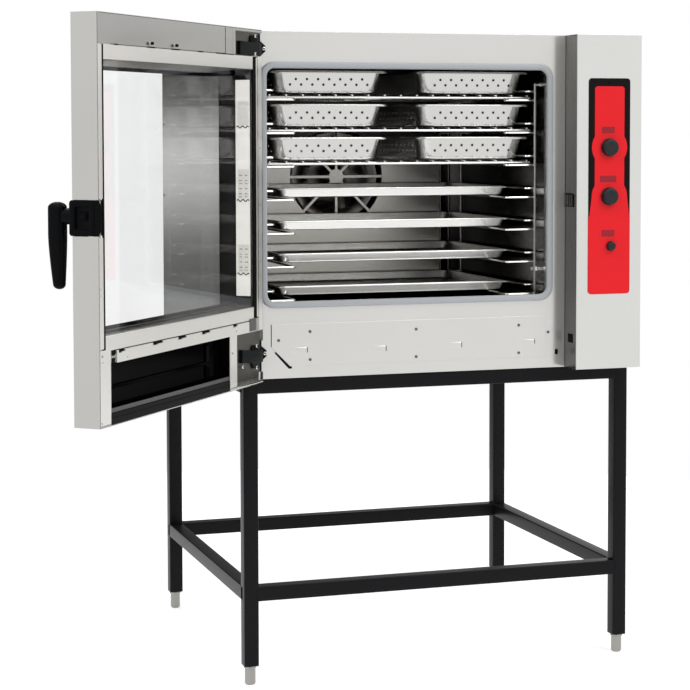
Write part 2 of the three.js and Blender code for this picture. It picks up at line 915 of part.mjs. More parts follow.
function airBaffle() {
  const x0 = middleX - baffleWidth / 2;
  const x1 = middleX + baffleWidth / 2;
  const z0 = cavity.floor + cavitySheet + gap;
  const z1 = cavity.ceiling - cavitySheet - gap;
  const y1 = baffleY + cavitySheet;
  const face = block(x0, x1, baffleY, y1, z0, z1).subtract(
    bar(middleX, fanZ, baffleY - overrun, y1 + overrun, baffleMouthRadius, baffleMouthRadius, ROUND * 2),
  );
  const returns = [x0, x1 - cavitySheet].map((x) =>
    block(x, x + cavitySheet, baffleY, baffleY + baffleReturn, z0, z1),
  );
  const spokes = Array.from({ length: baffleSpokes / 2 }, (_, i) => {
    const spoke = new THREE.BoxGeometry(
      baffleMouthRadius * 2 + baffleSpoke,
      cavitySheet,
      baffleSpoke,
    );
    spoke.rotateY((i / baffleSpokes) * Math.PI * 2);
    return solid(spoke.translate(middleX, (baffleY + y1) / 2, fanZ));
  });
  return joined([face, ...returns, ...spokes, bar(middleX, fanZ, baffleY, y1, baffleHubRadius)]);
}
place("air_baffle", airBaffle(), darkSteel);

// Racks: two uprights with a lower and an upper wire loop at each level
function rack(side) {
  const wall = side > 0 ? cavity.right - cavitySheet : cavity.left + cavitySheet;
  const upright = wall - side * rackWallGap;
  const front = rackFront;
  const back = rackFront + rackDepth;
  const w = rackWire;
  const foot = cavity.floor + cavitySheet + gap;
  const head = levelZ(levelCount - 1) + rackHead;
  const span = (xa, xb, y, z) => block(Math.min(xa, xb), Math.max(xa, xb), y, y + w, z - w, z);
  const uprights = [front, back - w].map((y) => {
    const xs = [upright, upright - side * w];
    return block(Math.min(...xs), Math.max(...xs), y, y + w, foot, head);
  });
  const loop = (reach, z) => {
    const tip = upright - side * (w + reach);
    const inner = tip + side * w;
    return [
      span(tip, upright, front, z),
      span(tip, upright, back - w, z),
      block(Math.min(tip, inner), Math.max(tip, inner), front, back, z - w, z),
    ];
  };
  const rows = Array.from({ length: levelCount }, (_, row) => levelZ(row));
  const loops = rows.flatMap((z) => [
    ...loop(supportReach, z),
    ...loop(retainerReach, z + retainerRise + w),
  ]);
  const pins = [levelZ(0) + rackFootPin, head].flatMap((z) =>
    [front, back - w].map((y) => span(upright - side * w, wall - side * gap, y, z)),
  );
  return joined([...uprights, ...loops, ...pins]);
}
place("rack_left", rack(-1), brightSteel);
place("rack_right", rack(1), brightSteel);

// Wire shelves on the top three levels
const shelfLeft = middleX - shelfWidth / 2;
const shelfBack = shelfFront + shelfDepth;

function wireShelf(row) {
  const z = levelZ(row) + gap;
  const barTop = z + shelfBar;
  const x1 = shelfLeft + shelfWidth;
  const crossBars = [shelfFront, shelfBack - shelfBar];
  const bars = crossBars.map((y) => block(shelfLeft, x1, y, y + shelfBar, z, barTop));
  const wires = Math.floor((shelfWidth - shelfWire) / shelfWirePitch);
  const start = middleX - (wires * shelfWirePitch) / 2;
  const depthWires = Array.from({ length: wires + 1 }, (_, i) => {
    const x = start + i * shelfWirePitch - shelfWire / 2;
    return block(x, x + shelfWire, shelfFront, shelfBack, barTop - weld, barTop + shelfWire - weld);
  });
  return joined([...bars, ...depthWires]);
}

const hotelPan = {
  rim: panRim,
  taper: panTaper,
  depth: panDepth,
  sheet: panSheet,
  lip: panLip,
  footRadius: panFootRadius,
  rimCorner: panRimCorner,
};
const shelfNames = ["low", "middle", "high"];
shelfNames.forEach((name, i) => {
  const row = levelCount - shelfLevels + i;
  place(`wire_shelf_${name}`, wireShelf(row), brightSteel);
  const panZ = levelZ(row) + gap + shelfBar + shelfWire - weld + gap;
  for (const [sideName, side] of [["left", -1], ["right", 1]]) {
    const x = mouth.left + panLeftRoom + panWidth / 2 + (side > 0 ? panSpread : 0);
    const pan = pressedPan(x, panSetback, panZ, panWidth, panLength, hotelPan);
    place(`hotel_pan_${name}_${sideName}`, pan, brightSteel);
  }
});

// Sheet pans on the lower levels
const sheetPan = {
  rim: trayRim,
  taper: trayTaper,
  depth: trayDepth,
  sheet: traySheet,
  lip: trayLip,
  footRadius: trayFootRadius,
  rimCorner: trayRimCorner,
};
for (let row = 0; row < levelCount - shelfLevels; row += 1) {
  const left = mouth.left + trayLeftRoom;
  const right = mouth.right - trayRightRoom;
  const front = shelfFront + trayFrontRoom;
  const pan = pressedPan(
    (left + right) / 2,
    front,
    levelZ(row) + gap,
    right - left,
    shelfBack - trayBackRoom - front,
    sheetPan,
  );
  place(`sheet_pan_${row + 1}`, pan, brightSteel);
}

// Door: built closed about its hinge axis, then swung open as one group
const doorGroup = new THREE.Group();
doorGroup.position.set(hingeX, hingeY, 0);
doorGroup.rotation.z = -THREE.MathUtils.degToRad(doorOpen);
oven.add(doorGroup);

function placeOnDoor(name, body, look) {
  return place(name, body.translate([-hingeX, -hingeY, 0]), look, doorGroup);
}

const lowerWindowRight = door.right - lowerWindowMargin;
const pane = {
  left: glassLeft,
  right: door.right - freeFlange - paneShadow,
  bottom: door.bottom + glassSill,
  top: door.top - glassHead,
};
// Each hinge's height, and how far the arm's foot runs below and above it
const hinges = [
  { name: "bottom", z: bodyBottom + bottomHingeRise, below: 29, above: 29 },
  { name: "top", z: bodyTop - topHingeDrop, below: 15, above: 33 },
];
const hingeZ = hinges.map(({ z }) => z);
const housing = {
  left: door.right + housingEnd - housingWidth,
  right: door.right + housingEnd,
  foot: door.bottom + housingFoot,
  head: door.bottom + housingFoot + housingTall,
};

const spindle = { x: housing.right - leverInset, z: housing.foot + leverUp };
const tongue = {
  left: housing.right - tongueEnd - tongueWidth,
  right: housing.right - tongueEnd,
  foot: housing.foot,
  head: housing.head,
};

function doorFrame() {
  const s = doorSheet;
  const { left, right, outer, inner, bottom, top } = door;
  const skinBox = block(left, right, outer, inner, bottom, top);
  const hollow = block(left + s, right - s, outer + s, inner - s, bottom + s, top - s);
  const outerWindow = block(
    pane.left + outerInset.left,
    pane.right - outerInset.right,
    outer - overrun,
    outer + s + overrun,
    pane.bottom + outerInset.foot,
    pane.top - outerInset.head,
  );
  const innerWindow = block(
    pane.left,
    right - freeFlange,
    inner - s - overrun,
    inner + overrun,
    pane.bottom,
    pane.top,
  );
  const lowerWindow = block(
    lowerWindowLeft,
    lowerWindowRight,
    inner - s - overrun,
    inner + overrun,
    bottom + lowerWindowFoot,
    bottom + lowerWindowHead,
  );
  const pockets = [
    [bottom + lowerWindowFoot, bottom + lowerPocketHead],
    [top - upperPocketFoot, top - lowerWindowFoot],
  ];
  const floors = pockets.map(([z0, z1]) =>
    block(left + s / 2, hingePocketRight + s, inner - hingePocketDepth - s, inner, z0 - s, z1 + s),
  );
  const hollows = pockets.map(([z0, z1]) =>
    block(left + s, hingePocketRight, inner - hingePocketDepth, inner + overrun, z0, z1),
  );
  const notches = hingeZ.map((z) =>
    block(
      left - overrun,
      hingeX + knuckleRadius + gap * 2,
      hingeY - knuckleRadius - gap * 2,
      inner + overrun,
      z - knuckleTall / 2 - gap,
      z + knuckleTall / 2 + gap,
    ),
  );
  const latchNotch = block(
    housing.left - gap,
    right + overrun,
    outer - overrun,
    inner - s,
    housing.foot - gap,
    housing.head + gap,
  );
  const tongueSlot = block(
    tongue.left - tongueTravel - gap,
    right + overrun,
    inner - s - overrun,
    inner + overrun,
    housing.foot - gap,
    housing.head + gap,
  );
  return skinBox
    .subtract(hollow)
    .subtract(joined([outerWindow, innerWindow, lowerWindow]))
    .add(joined(floors))
    .subtract(joined([...hollows, ...notches, latchNotch, tongueSlot]));
}
placeOnDoor("door_frame", doorFrame(), brushedSteel);

function paneFrame() {
  const x0 = pane.left + gap;
  const x1 = pane.right - gap;
  const z0 = pane.bottom + gap;
  const z1 = pane.top - gap;
  const opening = block(
    x0 + hingeStile,
    x1 - freeStile,
    door.inner - barThick - overrun,
    door.inner + overrun,
    z0 + barHeight,
    z1 - barHeight,
  );
  return block(x0, x1, door.inner - barThick, door.inner, z0, z1).subtract(opening);
}
placeOnDoor("pane_frame", paneFrame(), brightSteel);

const innerPaneFront = door.inner - barThick - gap;
placeOnDoor(
  "glass_inner",
  block(
    pane.left + gap,
    pane.right - gap,
    innerPaneFront - innerPane,
    innerPaneFront,
    pane.bottom + gap,
    pane.top - gap,
  ),
  paneGlass,
);
const outerPaneBack = door.outer + doorSheet + gap;
placeOnDoor(
  "glass_outer",
  block(
    pane.left + outerInset.left - paneLap,
    pane.right - outerInset.right + paneLap,
    outerPaneBack,
    outerPaneBack + outerPane,
    pane.bottom + outerInset.foot - paneLap,
    pane.top - outerInset.head + paneLap,
  ),
  paneGlass,
);

function lowerPanel() {
  const y1 = door.inner - doorSheet - gap;
  const y0 = y1 - lowerPanelDepth;
  const z0 = door.bottom + lowerWindowFoot;
  const z1 = door.bottom + lowerWindowHead;
  const s = doorSheet;
  return block(lowerWindowLeft - s, lowerWindowRight + s, y0, y1, z0 - s, z1 + s).subtract(
    block(lowerWindowLeft, lowerWindowRight, y0 + s, y1 + overrun, z0, z1),
  );
}
placeOnDoor("lower_panel", lowerPanel(), blackPlastic);

function dripStrip() {
  const y0 = door.inner + gap;
  const z0 = door.bottom + stripFoot;
  const z1 = z0 + stripHeight;
  const strip = block(stripLeft, door.right - stripMargin, y0, y0 + stripThick, z0, z1);
  const notches = stripNotches.map((from) => {
    const x = stripLeft + from - stripNotchLength / 2;
    return block(
      x,
      x + stripNotchLength,
      y0 - overrun,
      y0 + stripThick + overrun,
      z1 - stripNotchDepth,
      z1 + overrun,
    );
  });
  return strip.subtract(joined(notches));
}
placeOnDoor("drip_strip", dripStrip(), brushedSteel);

// Hinges: a leaf with its pin and end knuckles on the body, an arm with the middle knuckle
function hingeLeaf(z) {
  const half = knuckleTall / 2;
  const armHalf = armKnuckleTall / 2 + gap;
  const mid = z + leafShift;
  const leaf = plate(
    polygon([
      [hingeX - knuckleRadius, z - half],
      [hingeX + knuckleRadius, z - half],
      [hingeX + knuckleRadius, mid - leafHalfTall],
      [leafApex, mid - leafTip],
      [leafApex, mid + leafTip],
      [hingeX + knuckleRadius, mid + leafHalfTall],
      [hingeX + knuckleRadius, z + half],
      [hingeX - knuckleRadius, z + half],
    ]),
    -leafThick,
    0,
  );
  const ends = [
    [z - half, z - armHalf],
    [z + armHalf, z + half],
  ].flatMap(([z0, z1]) => [
    post(hingeX, hingeY, z0, z1, knuckleRadius),
    block(
      hingeX - knuckleRadius / 2,
      hingeX + knuckleRadius / 2,
      hingeY,
      -leafThick + weld,
      z0,
      z1,
    ),
  ]);
  return joined([leaf, ...ends, post(hingeX, hingeY, z - half, z + half, pinRadius)]);
}

function hingeArm(z, below, above) {
  const back = door.inner - hingePocketDepth + gap;
  const half = armTall / 2;
  const armX = hingeX + armReach;
  const footLow = z - below;
  const footHigh = z + above;
  const knuckle = post(
    hingeX,
    hingeY,
    z - armKnuckleTall / 2,
    z + armKnuckleTall / 2,
    knuckleRadius,
  );
  const reach = block(hingeX, armX, back, back + armThick, z - armKnuckleTall / 2, z + armKnuckleTall / 2);
  const tail = plate(
    polygon([
      [hingeX + knuckleRadius * 2, z - armKnuckleTall / 2],
      [armX, z - half],
      [armX, z + half],
      [hingeX + knuckleRadius * 2, z + armKnuckleTall / 2],
    ]),
    back,
    back + armThick,
  );
  const plateFoot = plate(
    polygon([
      [hingeX + knuckleRadius * 2, footLow],
      [hingeX + armFootReach - leafTip, footLow],
      [hingeX + armFootReach, footLow + leafTip],
      [hingeX + armFootReach, footHigh - leafTip],
      [hingeX + armFootReach - leafTip, footHigh],
      [hingeX + knuckleRadius * 2, footHigh],
    ]),
    back,
    back + armThick / 2,
  );
  const bore = post(hingeX, hingeY, z - knuckleTall, z + knuckleTall, pinRadius + gap);
  return joined([knuckle, reach, tail, plateFoot]).subtract(bore);
}
hinges.forEach(({ name, z, below, above }) => {
  place(`hinge_leaf_${name}`, hingeLeaf(z), blackPaint);
  placeOnDoor(`hinge_arm_${name}`, hingeArm(z, below, above), blackPaint);
});

// Latch: housing in the door's free edge, lever outside, sliding tongue, strike pad on the column
function latchHousing() {
  const outer = door.outer - housingProud;
  const behindPane = innerPaneFront - innerPane - gap;
  const shellBlock = joined([
    block(housing.left, housing.right, outer, behindPane, housing.foot, housing.head),
    block(
      pane.right + gap,
      housing.right,
      behindPane - weld,
      door.inner - doorSheet - gap,
      housing.foot,
      housing.head,
    ),
  ]);
  const recess = block(
    housing.right - recessDepth,
    housing.right + overrun,
    outer + recessInset,
    door.inner - recessInset,
    housing.foot + recessInset,
    housing.head - recessInset,
  );
  const tonguePocket = block(
    tongue.left - tongueTravel - gap,
    housing.right + overrun,
    door.inner - tongueDepth - gap,
    door.inner + overrun,
    housing.foot - overrun,
    housing.head + overrun,
  );
  const spindleBore = bar(
    spindle.x,
    spindle.z,
    outer - overrun,
    outer + spindleLength + gap,
    spindleRadius + gap,
  );
  return shellBlock.subtract(joined([recess, tonguePocket, spindleBore]));
}
placeOnDoor("latch_housing", latchHousing(), blackPlastic);

function latchTongue() {
  const back = door.inner - tongueDepth;
  const tip = door.inner + tongueProud;
  const outline = new THREE.Shape();
  outline.moveTo(tongue.foot, back);
  outline.lineTo(tongue.head, back);
  outline.lineTo(tongue.head, door.inner);
  outline.lineTo(tongue.head - tongueBevel, tip);
  outline.lineTo(tongue.foot + tongueBevel, tip);
  outline.lineTo(tongue.foot, door.inner);
  const slab = new THREE.ExtrudeGeometry(outline, { depth: tongueWidth, bevelEnabled: false });
  // the outline's first axis becomes Z and its second stays Y, so the slab runs along X
  slab.rotateY(-Math.PI / 2);
  return solid(slab.translate(tongue.right, 0, 0));
}
placeOnDoor("latch_tongue", latchTongue(), blackPlastic);

function doorLever() {
  const face = door.outer - housingProud;
  const gripFront = door.outer - gripStandoff;
  const head = spindle.z + gripAboveSpindle;
  const foot = head - gripLength;
  const section = (z, thick, width, shift, grow) =>
    ring(
      spindle.x - width / 2 - grow,
      spindle.x + width / 2 + grow,
      gripFront - shift - thick - grow,
      gripFront - shift + grow,
      z,
      gripCorner + grow,
      3,
    );
  const crown = gripCorner / 2;
  const grip = skin([
    section(foot, gripFootThick, gripFootWidth, gripFootShift, -crown / 2),
    section(foot + crown, gripFootThick, gripFootWidth, gripFootShift, 0),
    section(head - gripLength / 2, gripHeadThick, gripHeadWidth, 0, 0),
    section(head - crown, gripHeadThick, gripHeadWidth, 0, 0),
    section(head, gripHeadThick, gripHeadWidth, 0, -crown),
  ]);
  const neckFront = gripFront - gripHeadThick / 2;
  const neck = bar(spindle.x, spindle.z, neckFront, face - gap, leverNeckRadius);
  const axle = bar(spindle.x, spindle.z, face - gap - weld, face + spindleLength, spindleRadius);
  return joined([grip, neck, axle]);
}
placeOnDoor("door_lever", doorLever(), blackPlastic);

function latchKeeper() {
  const middle = (housing.foot + housing.head) / 2;
  return block(
    fasciaRight - keeperThick,
    fasciaRight,
    -sheet - keeperDepth,
    -sheet,
    middle - keeperTall / 2,
    middle + keeperTall / 2,
  );
}
place("latch_keeper", latchKeeper(), brightSteel);

// The origin is the middle of the whole part's footprint, on the floor.
oven.updateMatrixWorld(true);
const bounds = new THREE.Box3().setFromObject(oven, true);
const centre = bounds.getCenter(new THREE.Vector3());
oven.position.set(-centre.x, -centre.y, -bounds.min.z);
oven.updateMatrixWorld(true);

export default oven;
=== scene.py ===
# %% [markdown]
# # A combi oven on its stand
# The oven is a stainless steel box on an open stand of black square tube. Its glass door stands
# open for loading, six perforated pans sit on wire shelves and four sheet pans on rack runners.
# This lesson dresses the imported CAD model: sharp sheet edges get a small radius, pressed and bent
# pieces are worked out again as smooth surfaces, and each finish gets a material of its own.

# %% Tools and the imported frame
import json
import math

import bmesh
import bpy
import numpy as np
from mathutils import Matrix, Vector

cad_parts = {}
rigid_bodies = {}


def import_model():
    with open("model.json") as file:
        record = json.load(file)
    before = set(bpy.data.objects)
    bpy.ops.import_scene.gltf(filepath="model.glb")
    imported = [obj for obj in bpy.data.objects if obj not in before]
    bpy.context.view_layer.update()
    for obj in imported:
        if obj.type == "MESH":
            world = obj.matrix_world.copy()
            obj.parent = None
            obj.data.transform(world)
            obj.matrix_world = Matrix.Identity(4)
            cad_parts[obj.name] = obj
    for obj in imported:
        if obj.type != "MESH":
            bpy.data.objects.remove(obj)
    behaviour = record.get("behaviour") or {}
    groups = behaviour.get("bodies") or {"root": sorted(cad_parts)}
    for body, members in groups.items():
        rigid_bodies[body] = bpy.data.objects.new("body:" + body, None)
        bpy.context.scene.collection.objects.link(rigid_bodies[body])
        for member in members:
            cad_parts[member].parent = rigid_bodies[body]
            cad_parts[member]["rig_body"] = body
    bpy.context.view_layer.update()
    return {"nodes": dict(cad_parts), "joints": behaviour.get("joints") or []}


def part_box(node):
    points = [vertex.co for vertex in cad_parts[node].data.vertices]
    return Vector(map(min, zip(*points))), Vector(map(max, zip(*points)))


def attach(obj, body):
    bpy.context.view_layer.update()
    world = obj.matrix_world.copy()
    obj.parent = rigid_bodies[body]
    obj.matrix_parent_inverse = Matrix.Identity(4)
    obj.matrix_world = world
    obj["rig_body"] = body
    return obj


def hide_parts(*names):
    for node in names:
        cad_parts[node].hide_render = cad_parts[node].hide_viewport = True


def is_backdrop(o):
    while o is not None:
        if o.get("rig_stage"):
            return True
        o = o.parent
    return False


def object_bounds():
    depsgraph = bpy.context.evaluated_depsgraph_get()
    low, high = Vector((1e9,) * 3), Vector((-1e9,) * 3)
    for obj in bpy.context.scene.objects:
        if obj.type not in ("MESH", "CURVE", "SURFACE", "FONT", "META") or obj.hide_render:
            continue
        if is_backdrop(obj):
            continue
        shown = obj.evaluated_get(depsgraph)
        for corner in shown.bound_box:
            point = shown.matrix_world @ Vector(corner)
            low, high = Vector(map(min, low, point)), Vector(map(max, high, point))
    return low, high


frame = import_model()

# %% [markdown]
# Workshop sizes are in millimetres from the lower left corner of the oven's front sheet, with X to
# the right, Y into the oven and Z up from the floor. Blender and the frame use metres from the
# middle of the footprint. One small function carries points from the first to the second, so
# every size below can be read off the real oven with a rule.

# %% From workshop millimetres to the frame
MM = 0.001
CORNER = np.array([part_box("side_left")[0].x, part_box("fascia")[0].y, 0.0])


def in_frame(points):
    """Metres in the frame: points in workshop millimetres times 0.001, moved to the corner."""
    return np.asarray(points, float) * MM + CORNER


def workshop_box(node):
    """A CAD node's lowest and highest corner in workshop millimetres."""
    return [(np.array(corner) - CORNER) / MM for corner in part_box(node)]


def middle_of(node):
    """The middle of a CAD node's box: half the sum of its two corners."""
    return sum(workshop_box(node)) / 2


body_width = workshop_box("side_right")[1][0]
body_bottom, body_top = (corner[2] for corner in workshop_box("side_left"))
body_depth = workshop_box("back_cover")[1][1]
print("body", *(round(v, 1) for v in (body_width, body_depth, body_bottom, body_top)))

# %% [markdown]
# The door turns about an upright axis at the body's left edge. Its pieces are easiest to describe
# with the door shut, so a second function swings such points open by the angle that the frame's
# own joint gives: turn about the axis by minus that angle.

# %% The open door's own axes
HINGE = np.array([32.0, -24.0])
door_joint = next(j for j in frame["joints"] if j["name"] == "door_hinge")
door_swing = math.radians(-door_joint["range_deg"][0])
door_along = np.array([math.cos(door_swing), -math.sin(door_swing)])
door_out = np.array([math.sin(door_swing), math.cos(door_swing)])


def swung(points):
    """The shut door's points carried open: hinge + x from it times along + y from it times out."""
    x, y = (points[..., k, None] - HINGE[k] for k in (0, 1))
    return np.concatenate([HINGE + x * door_along + y * door_out, points[..., 2:]], axis=-1)


print("door open by", round(math.degrees(door_swing), 2), "degrees")

# %% [markdown]
# Every new piece is a surface: rows and columns of points on a grid, joined by four-cornered faces.
# Each row is a closed loop. A looped grid also comes back to its first row, as a ring does; any
# other is a tube, whose ends get one flat face each. Pieces are smoothed and painted in one place,
# where they are also tied to the body that carries them.

# %% Grids of points become meshes
MATERIALS = {}


def looped(grid):
    """Marks a grid whose last row joins its first."""
    return grid, True


def grid_mesh(name, grids, swing=False):
    """One mesh from grids [row, column, xyz]: faces join neighbours along rows and columns."""
    points, faces, count = [], [], 0
    for grid in grids:
        grid, loop = grid if isinstance(grid, tuple) else (grid, False)
        rows, cols = grid.shape[:2]
        i, j = np.divmod(np.arange((rows if loop else rows - 1) * cols), cols)
        a, b = (i + 1) % rows, (j + 1) % cols
        corners = np.stack([i * cols + j, i * cols + b, a * cols + b, a * cols + j], axis=1)
        faces += (corners + count).tolist()
        if not loop:
            first = np.arange(cols) + count
            faces += [first[::-1].tolist(), (first + (rows - 1) * cols).tolist()]
        points.append(grid.reshape(-1, 3))
        count += rows * cols
    points = np.concatenate(points)
    mesh = bpy.data.meshes.new(name)
    mesh.from_pydata(in_frame(swung(points) if swing else points).tolist(), [], faces)
    bm = bmesh.new()
    bm.from_mesh(mesh)
    bmesh.ops.remove_doubles(bm, verts=bm.verts, dist=1e-6)
    bmesh.ops.recalc_face_normals(bm, faces=bm.faces)
    bm.to_mesh(mesh)
    bm.free()
    return mesh


def finish_piece(name, mesh, body, look, nodes=(), smooth=35.0):
    """Smooths a mesh below an angle, paints it, and lets it ride with its body."""
    mesh.shade_smooth()
    mesh.set_sharp_from_angle(angle=math.radians(smooth))
    piece = bpy.data.objects.new(name, mesh)
    bpy.context.scene.collection.objects.link(piece)
    mesh.materials.clear()
    mesh.materials.append(MATERIALS[look])
    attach(piece, body)
    if nodes:
        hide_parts(*nodes)
    print(name, len(mesh.polygons), "faces")
    return piece


def make_piece(name, look, grids, body="oven", nodes=(), slot=None, smooth=35.0, door=False):
    """One object from grids in workshop millimetres, swung open with the door if door is true."""
    return finish_piece(name, grid_mesh(name, grids, door), body, look, nodes, smooth)


# %% [markdown]
# Bent wire, beads and seals are a round or shaped section carried along a path. The path's corners
# are rounded first, as a bending machine leaves them: each corner becomes an arc that starts and
# ends at the same distance from it.

# %% Paths with round corners, and tubes along them
def unit(vectors):
    """Vectors divided by their own length."""
    return vectors / np.linalg.norm(vectors, axis=-1, keepdims=True)


def rounded_path(corners, radius, closed=False):
    """The path through corners, each corner cut back by radius and joined by a quadratic arc."""
    corners = np.asarray(corners, float)
    last = len(corners) - 1
    t = np.linspace(0, 1, 6)[:, None]
    out = []
    for i, here in enumerate(corners):
        if not closed and i in (0, last):
            out.append(here[None])
            continue
        before, after = corners[i - 1] - here, corners[0 if i == last else i + 1] - here
        cut = min(radius, np.linalg.norm(before) * 0.49, np.linalg.norm(after) * 0.49)
        start, end = here + unit(before) * cut, here + unit(after) * cut
        out.append((1 - t) ** 2 * start + 2 * t * (1 - t) * here + t**2 * end)
    return np.concatenate(out)


def circle(one, two, sides):
    """Directions round a circle: cos a times one + sin a times two."""
    angle = np.linspace(0, 2 * np.pi, sides, endpoint=False)[:, None]
    return np.cos(angle) * one + np.sin(angle) * two


def tube(path, radius, sides=10, closed=False):
    """Rings round a path: centre + radius times a circle of n1 and n2, which are square to the path."""
    path = np.asarray(path, float)
    ahead = np.roll(path, -1, 0) - path
    if not closed:
        ahead[-1] = ahead[-2]
    ahead = unit(ahead)
    behind = np.roll(ahead, 1, 0)
    if not closed:
        behind[0] = ahead[0]
    tangent = unit(ahead + behind)
    normals = [unit(np.cross(tangent[0], [0, 0, 1.0] if abs(tangent[0][2]) < 0.9 else [0, 1.0, 0]))]
    for t in tangent[1:]:
        normals.append(unit(normals[-1] - t * (normals[-1] @ t)))
    n1 = np.array(normals)
    n2 = np.cross(tangent, n1)
    return path[:, None] + radius * circle(n1[:, None], n2[:, None], sides)


def rounded_rectangle(x0, x1, z0, z1, radius, steps=10):
    """Corner arcs of the given radius joined into one loop of (x, z) points."""
    arc = np.linspace(0, np.pi / 2, steps + 1)
    left, right, low, high = x0 + radius, x1 - radius, z0 + radius, z1 - radius
    corners = []
    for turn, (x, z) in enumerate(((right, high), (left, high), (left, low), (right, low))):
        angle = arc + turn * np.pi / 2
        corners.append(np.stack([x + radius * np.cos(angle), z + radius * np.sin(angle)], 1))
    return np.concatenate(corners)


def drawn_in(edges, inset, radius, steps=10):
    """The rounded rectangle that lies inset inside the edges (x0, x1, z0, z1)."""
    x0, x1, z0, z1 = edges
    return rounded_rectangle(x0 + inset, x1 - inset, z0 + inset, z1 - inset, radius, steps)


def turned(profile, centre, axis, sides=32):
    """A lathe shape: (radius, distance along axis) rows turned round the axis through centre."""
    profile = np.asarray(profile, float)[..., None, None]
    axis = unit(np.asarray(axis, float))
    side = unit(np.cross(axis, [0, 0, 1.0])) if abs(axis[2]) < 0.9 else np.array([1.0, 0, 0])
    spokes = circle(side, np.cross(axis, side), sides)
    return np.asarray(centre, float) + profile[:, 1] * axis + profile[:, 0] * spokes


# %% [markdown]
# Many small parts are flat: covers, strips, windows. A plate is a rounded rectangle carried from
# its back to its front, drawn in a little at both faces so its edges catch the light. Other
# outlines are carried straight through. A screw is a lathe shape with a round recess in its head.

# %% Plates, cut outlines and screws
def stacked(loops, places, axis=1):
    """Flat loops, each set at its own place along the axis that their points lack."""
    pairs = zip(loops, places)
    return np.array([np.insert(np.asarray(loop, float), axis, at, axis=1) for loop, at in pairs])


def plate(x0, x1, z0, z1, back, front, corner=1.0, ease=0.3):
    """Four rounded rectangles in X and Z: drawn in by ease at both faces, full size in between."""
    step = math.copysign(min(ease, abs(front - back) * 0.4), front - back)
    loops = [drawn_in((x0, x1, z0, z1), e, max(corner - e, 0.05), 3) for e in (ease, 0, 0, ease)]
    return stacked(loops, (back, back + step, front - step, front))


def across(*sizes):
    """A plate turned to face along X: its x and y change places."""
    return plate(*sizes)[..., [1, 0, 2]]


def prism(outline, back, front, axis=1):
    """An outline carried straight from back to front along the axis that it lacks."""
    return stacked([outline] * 2, (back, front), axis)


def screw_head(at, facing, radius, height):
    """A pan head: (radius, height) rows up the side, over the crown and down into the recess."""
    shares = [(1, 0), (1, 0.35), (0.86, 0.8), (0.55, 1), (0.38, 0.96), (0.28, 0.4), (0.01, 0.35)]
    return turned([(radius * a, height * b) for a, b in shares], at, facing, 16)


# %% [markdown]
# Folded and welded sheet is never knife-sharp. The plain CAD blocks are copied, their doubled
# points merged and flat faces joined, and a Bevel modifier rounds each edge by a few tenths of a
# millimetre. A bevel was chosen over new geometry because the sizes must stay exactly the CAD's.

# %% Copies of CAD nodes with rounded edges
def round_edges(piece, width, segments=2, limit=40.0):
    """A Bevel modifier of width millimetres on the edges sharper than limit degrees."""
    bevel = piece.modifiers.new("edge", "BEVEL")
    bevel.width = width * MM
    bevel.segments = segments
    bevel.limit_method = "ANGLE"
    bevel.angle_limit = math.radians(limit)
    bevel.harden_normals = True


def eased(node, look, width=0.0, segments=2, limit=40.0):
    """A copy of one CAD node with its edges rounded by width millimetres."""
    bm = bmesh.new()
    bm.from_mesh(frame["nodes"][node].data)
    bmesh.ops.remove_doubles(bm, verts=bm.verts, dist=2e-6)
    bmesh.ops.dissolve_limit(bm, angle_limit=math.radians(0.5), verts=bm.verts, edges=bm.edges)
    bmesh.ops.triangulate(bm, faces=[face for face in bm.faces if len(face.verts) > 4])
    mesh = bpy.data.meshes.new(node + "_eased")
    bm.to_mesh(mesh)
    bm.free()
    body = frame["nodes"][node]["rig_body"]
    piece = finish_piece(node + "_eased", mesh, body, look, [node], limit)
    if width:
        round_edges(piece, width, segments, limit)
    return piece


# %% [markdown]
# ## Finishes
# Shader nodes are placed by two small functions: one makes a node, the other gives each of its
# inputs a value or the output of another node. A node group starts from its named inputs, whose
# kind follows from their start values: one number, three for a vector, four for a colour.

# %% Shader nodes and node groups
SOCKET_KINDS = {1: "NodeSocketFloat", 3: "NodeSocketVector", 4: "NodeSocketColor"}


def connect(tree, node, inputs):
    """Gives each input of a node a value, or what another node or socket puts out."""
    for label, value in inputs.items():
        if isinstance(value, bpy.types.Node):
            value = value.outputs[0]
        if isinstance(value, bpy.types.NodeSocket):
            tree.links.new(value, node.inputs[label])
        else:
            node.inputs[label].default_value = value


def add_node(tree, kind, inputs=None, **settings):
    """A shader node with its settings made and its inputs connected."""
    node = tree.nodes.new("ShaderNode" + kind)
    for name, value in settings.items():
        setattr(node, name, value)
    connect(tree, node, inputs or {})
    return node


def new_group(name, inputs, outputs):
    """An empty node group: inputs are start values, outputs are how many numbers each one holds."""
    group = bpy.data.node_groups.new(name, "ShaderNodeTree")
    for label, value in inputs.items():
        kind = SOCKET_KINDS[np.size(value)]
        group.interface.new_socket(label, in_out="INPUT", socket_type=kind).default_value = value
    for label, size in outputs.items():
        group.interface.new_socket(label, in_out="OUTPUT", socket_type=SOCKET_KINDS[size])
    print("node group:", name)
    return group, group.nodes.new("NodeGroupInput").outputs, group.nodes.new("NodeGroupOutput")
